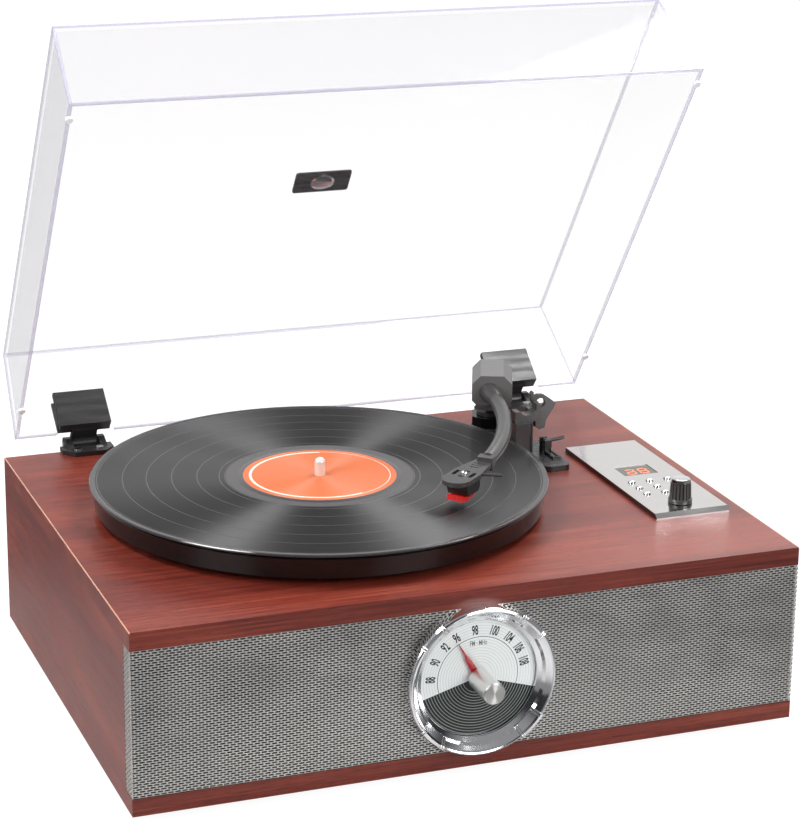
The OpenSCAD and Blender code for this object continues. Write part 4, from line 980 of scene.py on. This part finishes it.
words = [word(text, 8.8, 0.47, 30.9, angle) for text, angle in (
    ("88", 176), ("90", 154.6), ("92", 134), ("96", 117.6), ("98", 94.4), ("100", 70.5),
    ("104", 49.4), ("106", 30.6), ("108", 12.8))]
worn(joined(words, "dial_numbers"), ink_black, "cabinet")
ink_grey = finish("grey ink", (0.16, 0.19, 0.185), rough=0.5, spread=0.2, bump=0.002)
band_name = word("FM \u00b7 MHz", 4.6, 0.62, 22.4, 90, bold=0.04)
band_name.name = "dial_band_name"
worn(band_name, ink_grey, "cabinet")

# %% [markdown]
# The display shows two seven-bar figures. One bar is a flat six-sided bar made from a plane by
# pulling out its ends, and each figure is a set of copies, upright or lying. The bars glow a
# little through the smoked window, so they sit just on top of it.

# %% Display figures
glow, tree, shader, where = begin("lit bar")
touch = touched(tree, where, 3000.0)
tree.links.new(toned(tree, touch, (0.75, 0.12, 0.05), (0.90, 0.20, 0.09)),
               shader.inputs["Base Color"])
tree.links.new(toned(tree, touch, (0.95, 0.20, 0.09), (1.0, 0.30, 0.16)),
               shader.inputs["Emission Color"])
plainly(shader, Emission_Strength=0.75, Roughness=0.3)
WINDOW_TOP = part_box("display_window")[1].z


def bar(x, y, long, lying):
    """One bar of a figure on the window, its middle at x and y in millimetres."""
    obj = start("bar", bpy.ops.mesh.primitive_plane_add, size=1.0)
    bpy.ops.transform.resize(value=((long - 1.6) * MM, 1.1 * MM, 1))
    bpy.ops.mesh.select_mode(type="EDGE")
    pick(obj, "EDGE", lambda at, e: at.x > (long - 1.6) / 2 - 0.01)
    draw(0.5, 0, 0)
    bpy.ops.transform.resize(value=(1, 0.15, 1))
    pick(obj, "EDGE", lambda at, e: at.x < -(long - 1.6) / 2 + 0.01)
    draw(-0.5, 0, 0)
    bpy.ops.transform.resize(value=(1, 0.15, 1))
    leave()
    obj.rotation_euler = (0, 0, 0 if lying else math.pi / 2)
    obj.location = (x * MM, y * MM, WINDOW_TOP + 0.06 * MM)
    settle()
    wall = obj.modifiers.new("wall", "SOLIDIFY")
    wall.thickness = 0.05 * MM
    apply_all(obj)
    return obj


window_low, window_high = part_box("display_window")
WINDOW_X = (window_low.x + window_high.x) / 2 / MM
WINDOW_Y = (window_low.y + window_high.y) / 2 / MM
bars = []
for middle, lit in ((-4.6, "abcdeg"), (4.6, "abcdefg")):
    x, y, wide, tall = WINDOW_X + middle, WINDOW_Y - 2.0, 5.6, 4.6
    for name, (dx, dy, lying) in {
            "a": (0, tall, True), "g": (0, 0, True), "d": (0, -tall, True),
            "f": (-wide / 2, tall / 2, False), "b": (wide / 2, tall / 2, False),
            "e": (-wide / 2, -tall / 2, False), "c": (wide / 2, -tall / 2, False)}.items():
        if name in lit:
            bars.append(bar(x + dx, y + dy, wide if lying else tall, lying))
worn(joined(bars, "display_figures"), glow, "cabinet")

# %% [markdown]
# The small plate on the cover shows a plain oval of polished metal through the clear lid, so
# the oval lies in the lid, under the plate, and faces inwards. It is a flattened cylinder: its
# top face is inset and raised for the rim, inset and pushed in, then inset and drawn up again,
# so the rim and the low dome catch the light.

# %% Oval on the cover's plate
OPENED = (Matrix.Translation(HINGE) @ Matrix.Rotation(-OPEN, 4, "X")
          @ Matrix.Translation(-HINGE))
OVAL_Z = RIM_Z + COVER_HIGH - 0.37 * MM
oval = start("cover_plate_oval", bpy.ops.mesh.primitive_cylinder_add, vertices=48, radius=1.0,
             depth=1.0)
bpy.ops.transform.resize(value=(8.6 * MM, 6.4 * MM, 0.7 * MM))
pick(oval, "FACE", lambda at, f: f.normal.z > 0.9)
step_in(0.9, 0.25)
step_in(0.5, -0.35)
step_in(1.6, 0.3)
closed(smooth=35)
put_down(oval, OPENED @ Matrix.Translation((0, (RIM_FRONT + RIM_REAR) / 2, OVAL_Z))
         @ Matrix.Rotation(math.pi, 4, "X"))
worn(oval, chrome, "cover")

# %% [markdown]
# On the back, each phono socket has a coloured ring that tells left from right. A ring is a
# cylinder whose end is inset and pushed through, and one function makes both rings.

# %% Socket rings
red_ring = finish("red ring", (0.55, 0.02, 0.015), rough=0.35, spread=0.1, bump=0.004)
white_ring = finish("white ring", (0.80, 0.80, 0.78), rough=0.35, spread=0.06, bump=0.004)


def socket_ring(name, x, material):
    """A plain collar round the foot of a socket, open in the middle."""
    obj = start(name, bpy.ops.mesh.primitive_cylinder_add, vertices=40, radius=6.2 * MM,
                depth=1.2 * MM)
    pick(obj, "FACE", lambda at, f: abs(f.normal.z) > 0.9)
    bpy.ops.mesh.inset(thickness=1.75 * MM)
    bpy.ops.mesh.bridge_edge_loops()
    pick(obj, "EDGE", lambda at, e: math.hypot(at.x, at.y) > 6.0 and at.z > 0.5)
    bpy.ops.mesh.bevel(offset=0.3 * MM, segments=2)
    closed(smooth=35)
    obj.rotation_euler = (-math.pi / 2, 0, 0)
    obj.location = (x * MM, BACK - 3.38 * MM, 39.4 * MM)
    settle()
    worn(obj, material, "cabinet")


socket_ring("right_socket_ring", -136, red_ring)
socket_ring("left_socket_ring", -122, white_ring)

# %% [markdown]
# The volume knob is a fluted grip with a wider foot. A cylinder's top face is drawn up step by
# step, a little narrower each time, and every fourth upright edge of the body is pulled
# towards the axis, which cuts eighteen flutes at once. Its stem goes down to the control.

# %% Volume knob
KNOB = Vector(((knob_low.x + knob_high.x) / 2, (knob_low.y + knob_high.y) / 2, 0))
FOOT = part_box("control_panel")[1].z + 0.4 * MM


def around_knob(at):
    """Distance and angle of a point in millimetres from the knob's axis."""
    dx, dy = at.x - KNOB.x / MM, at.y - KNOB.y / MM
    return math.hypot(dx, dy), math.degrees(math.atan2(dy, dx))


grip = start("volume_knob_grip", bpy.ops.mesh.primitive_cylinder_add, vertices=72,
             radius=8.0 * MM, depth=2.2 * MM, location=(KNOB.x, KNOB.y, FOOT + 1.1 * MM))
pick(grip, "FACE", lambda at, f: f.normal.z > 0.9)
for rise, narrower in ((0.5, 0.95), (0.3, 0.97), (10.4, 0.92), (0.7, 0.965), (0.5, 0.99),
                       (1.2, 0.97), (0.35, 0.93)):
    draw(0, 0, rise)
    bpy.ops.transform.resize(value=(narrower, narrower, 1))
step_in(1.2, 0.12)
low_body, high_body = FOOT / MM + 2.9, FOOT / MM + 13.5
pick(grip, "EDGE", lambda at, e: low_body < at.z < high_body and 6 < around_knob(at)[0]
     and abs((around_knob(at)[1] + 370) % 20 - 10) < 1 and abs(at.z - FOOT / MM - 8.2) < 1)
bpy.ops.transform.resize(value=(0.83, 0.83, 1))
pick(grip, "FACE", lambda at, f: f.normal.z < -0.9)
bpy.ops.mesh.inset(thickness=5.0 * MM)
draw(0, 0, (knob_low.z - FOOT) / MM)
closed(smooth=32)
worn(grip, knob, "volume")
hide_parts("volume_knob")

# %% [markdown]
# Each of the four clamps on the bezel ends in two thin upright ridges. One ridge is a narrow
# strip drawn over the bezel's section edge by edge, thickened with Solidify and softened with
# Bevel. It is then copied round the dial to its sixteen places.

# %% Ridges on the bezel's clamps
first_ridge = start("bezel_ridges", bpy.ops.mesh.primitive_plane_add, size=1.0,
                    rotation=(math.pi / 2, 0, 0))
bpy.ops.transform.resize(value=(0.3 * MM, 1, 0.75 * MM))
bpy.ops.transform.translate(value=(41.2 * MM, FRONT - 5.6 * MM, 0))
pick(first_ridge, "EDGE", lambda at, e: at.x > 41.3)
for out, ahead_by in ((3.9, 4.0), (1.3, 0.75), (2.0, -0.4), (1.0, -1.6), (0.05, -6.4)):
    draw(out, -ahead_by, 0)
leave()
wall = first_ridge.modifiers.new("wall", "SOLIDIFY")
wall.thickness = 1.1 * MM
wall.offset = -1
soft = first_ridge.modifiers.new("soft", "BEVEL")
soft.width = 0.18 * MM
soft.segments = 2
apply_all(first_ridge)
ridges = []
for corner in (45, 135, 225, 315):
    for off in (-11.1, -8.9, 8.9, 11.1):
        only(first_ridge)
        bpy.ops.object.duplicate()
        copy = bpy.context.object
        copy.rotation_euler = (0, math.radians(corner + off), 0)
        copy.location = (0, 0, DIAL_Z)
        settle()
        ridges.append(copy)
bpy.data.objects.remove(first_ridge)
ridge_set = joined(ridges, "bezel_ridges")
bpy.ops.object.shade_smooth_by_angle(angle=math.radians(35))
worn(ridge_set, chrome, "cabinet")

# %% [markdown]
# The cartridge hangs from one cross-head screw in the middle of the headshell, with a small
# black stop before and behind it. The headshell lies aslant in space, so a matrix puts down
# what is modelled flat at the origin: its steps are those of the arm itself.

# %% Headshell screw and stops
SHELL = (Matrix.Translation((112 * MM, 89.941 * MM, TOP))
         @ Matrix.Rotation(math.radians(-112), 4, "Z")
         @ Matrix.Translation((21 * MM, 0, 44 * MM)) @ Matrix.Rotation(math.radians(1.9), 4, "Y")
         @ Matrix.Translation((134 * MM, -3.165 * MM, 0))
         @ Matrix.Rotation(math.radians(-28), 4, "Z"))
shell_screw = start("headshell_screw", bpy.ops.mesh.primitive_cylinder_add, vertices=32,
                    radius=2.0 * MM, depth=0.9 * MM, location=(32.7 * MM, 0, 1.9 * MM))
pick(shell_screw, "FACE", lambda at, f: f.normal.z > 0.9)
step_in(0.45, 0.3)
step_in(0.8, -0.45)
closed(smooth=35)
put_down(shell_screw, SHELL)
worn(shell_screw, chrome, "tonearm")
stops = start("headshell_stops", bpy.ops.mesh.primitive_cube_add, size=1.0)
bpy.ops.transform.resize(value=(1.6 * MM, 2.8 * MM, 0.35 * MM))
bpy.ops.transform.translate(value=(37.4 * MM, 0, 1.62 * MM))
bpy.ops.mesh.duplicate()
bpy.ops.transform.translate(value=(-9.2 * MM, 0, 0))
closed()
put_down(stops, SHELL)
worn(stops, board_black, "tonearm")
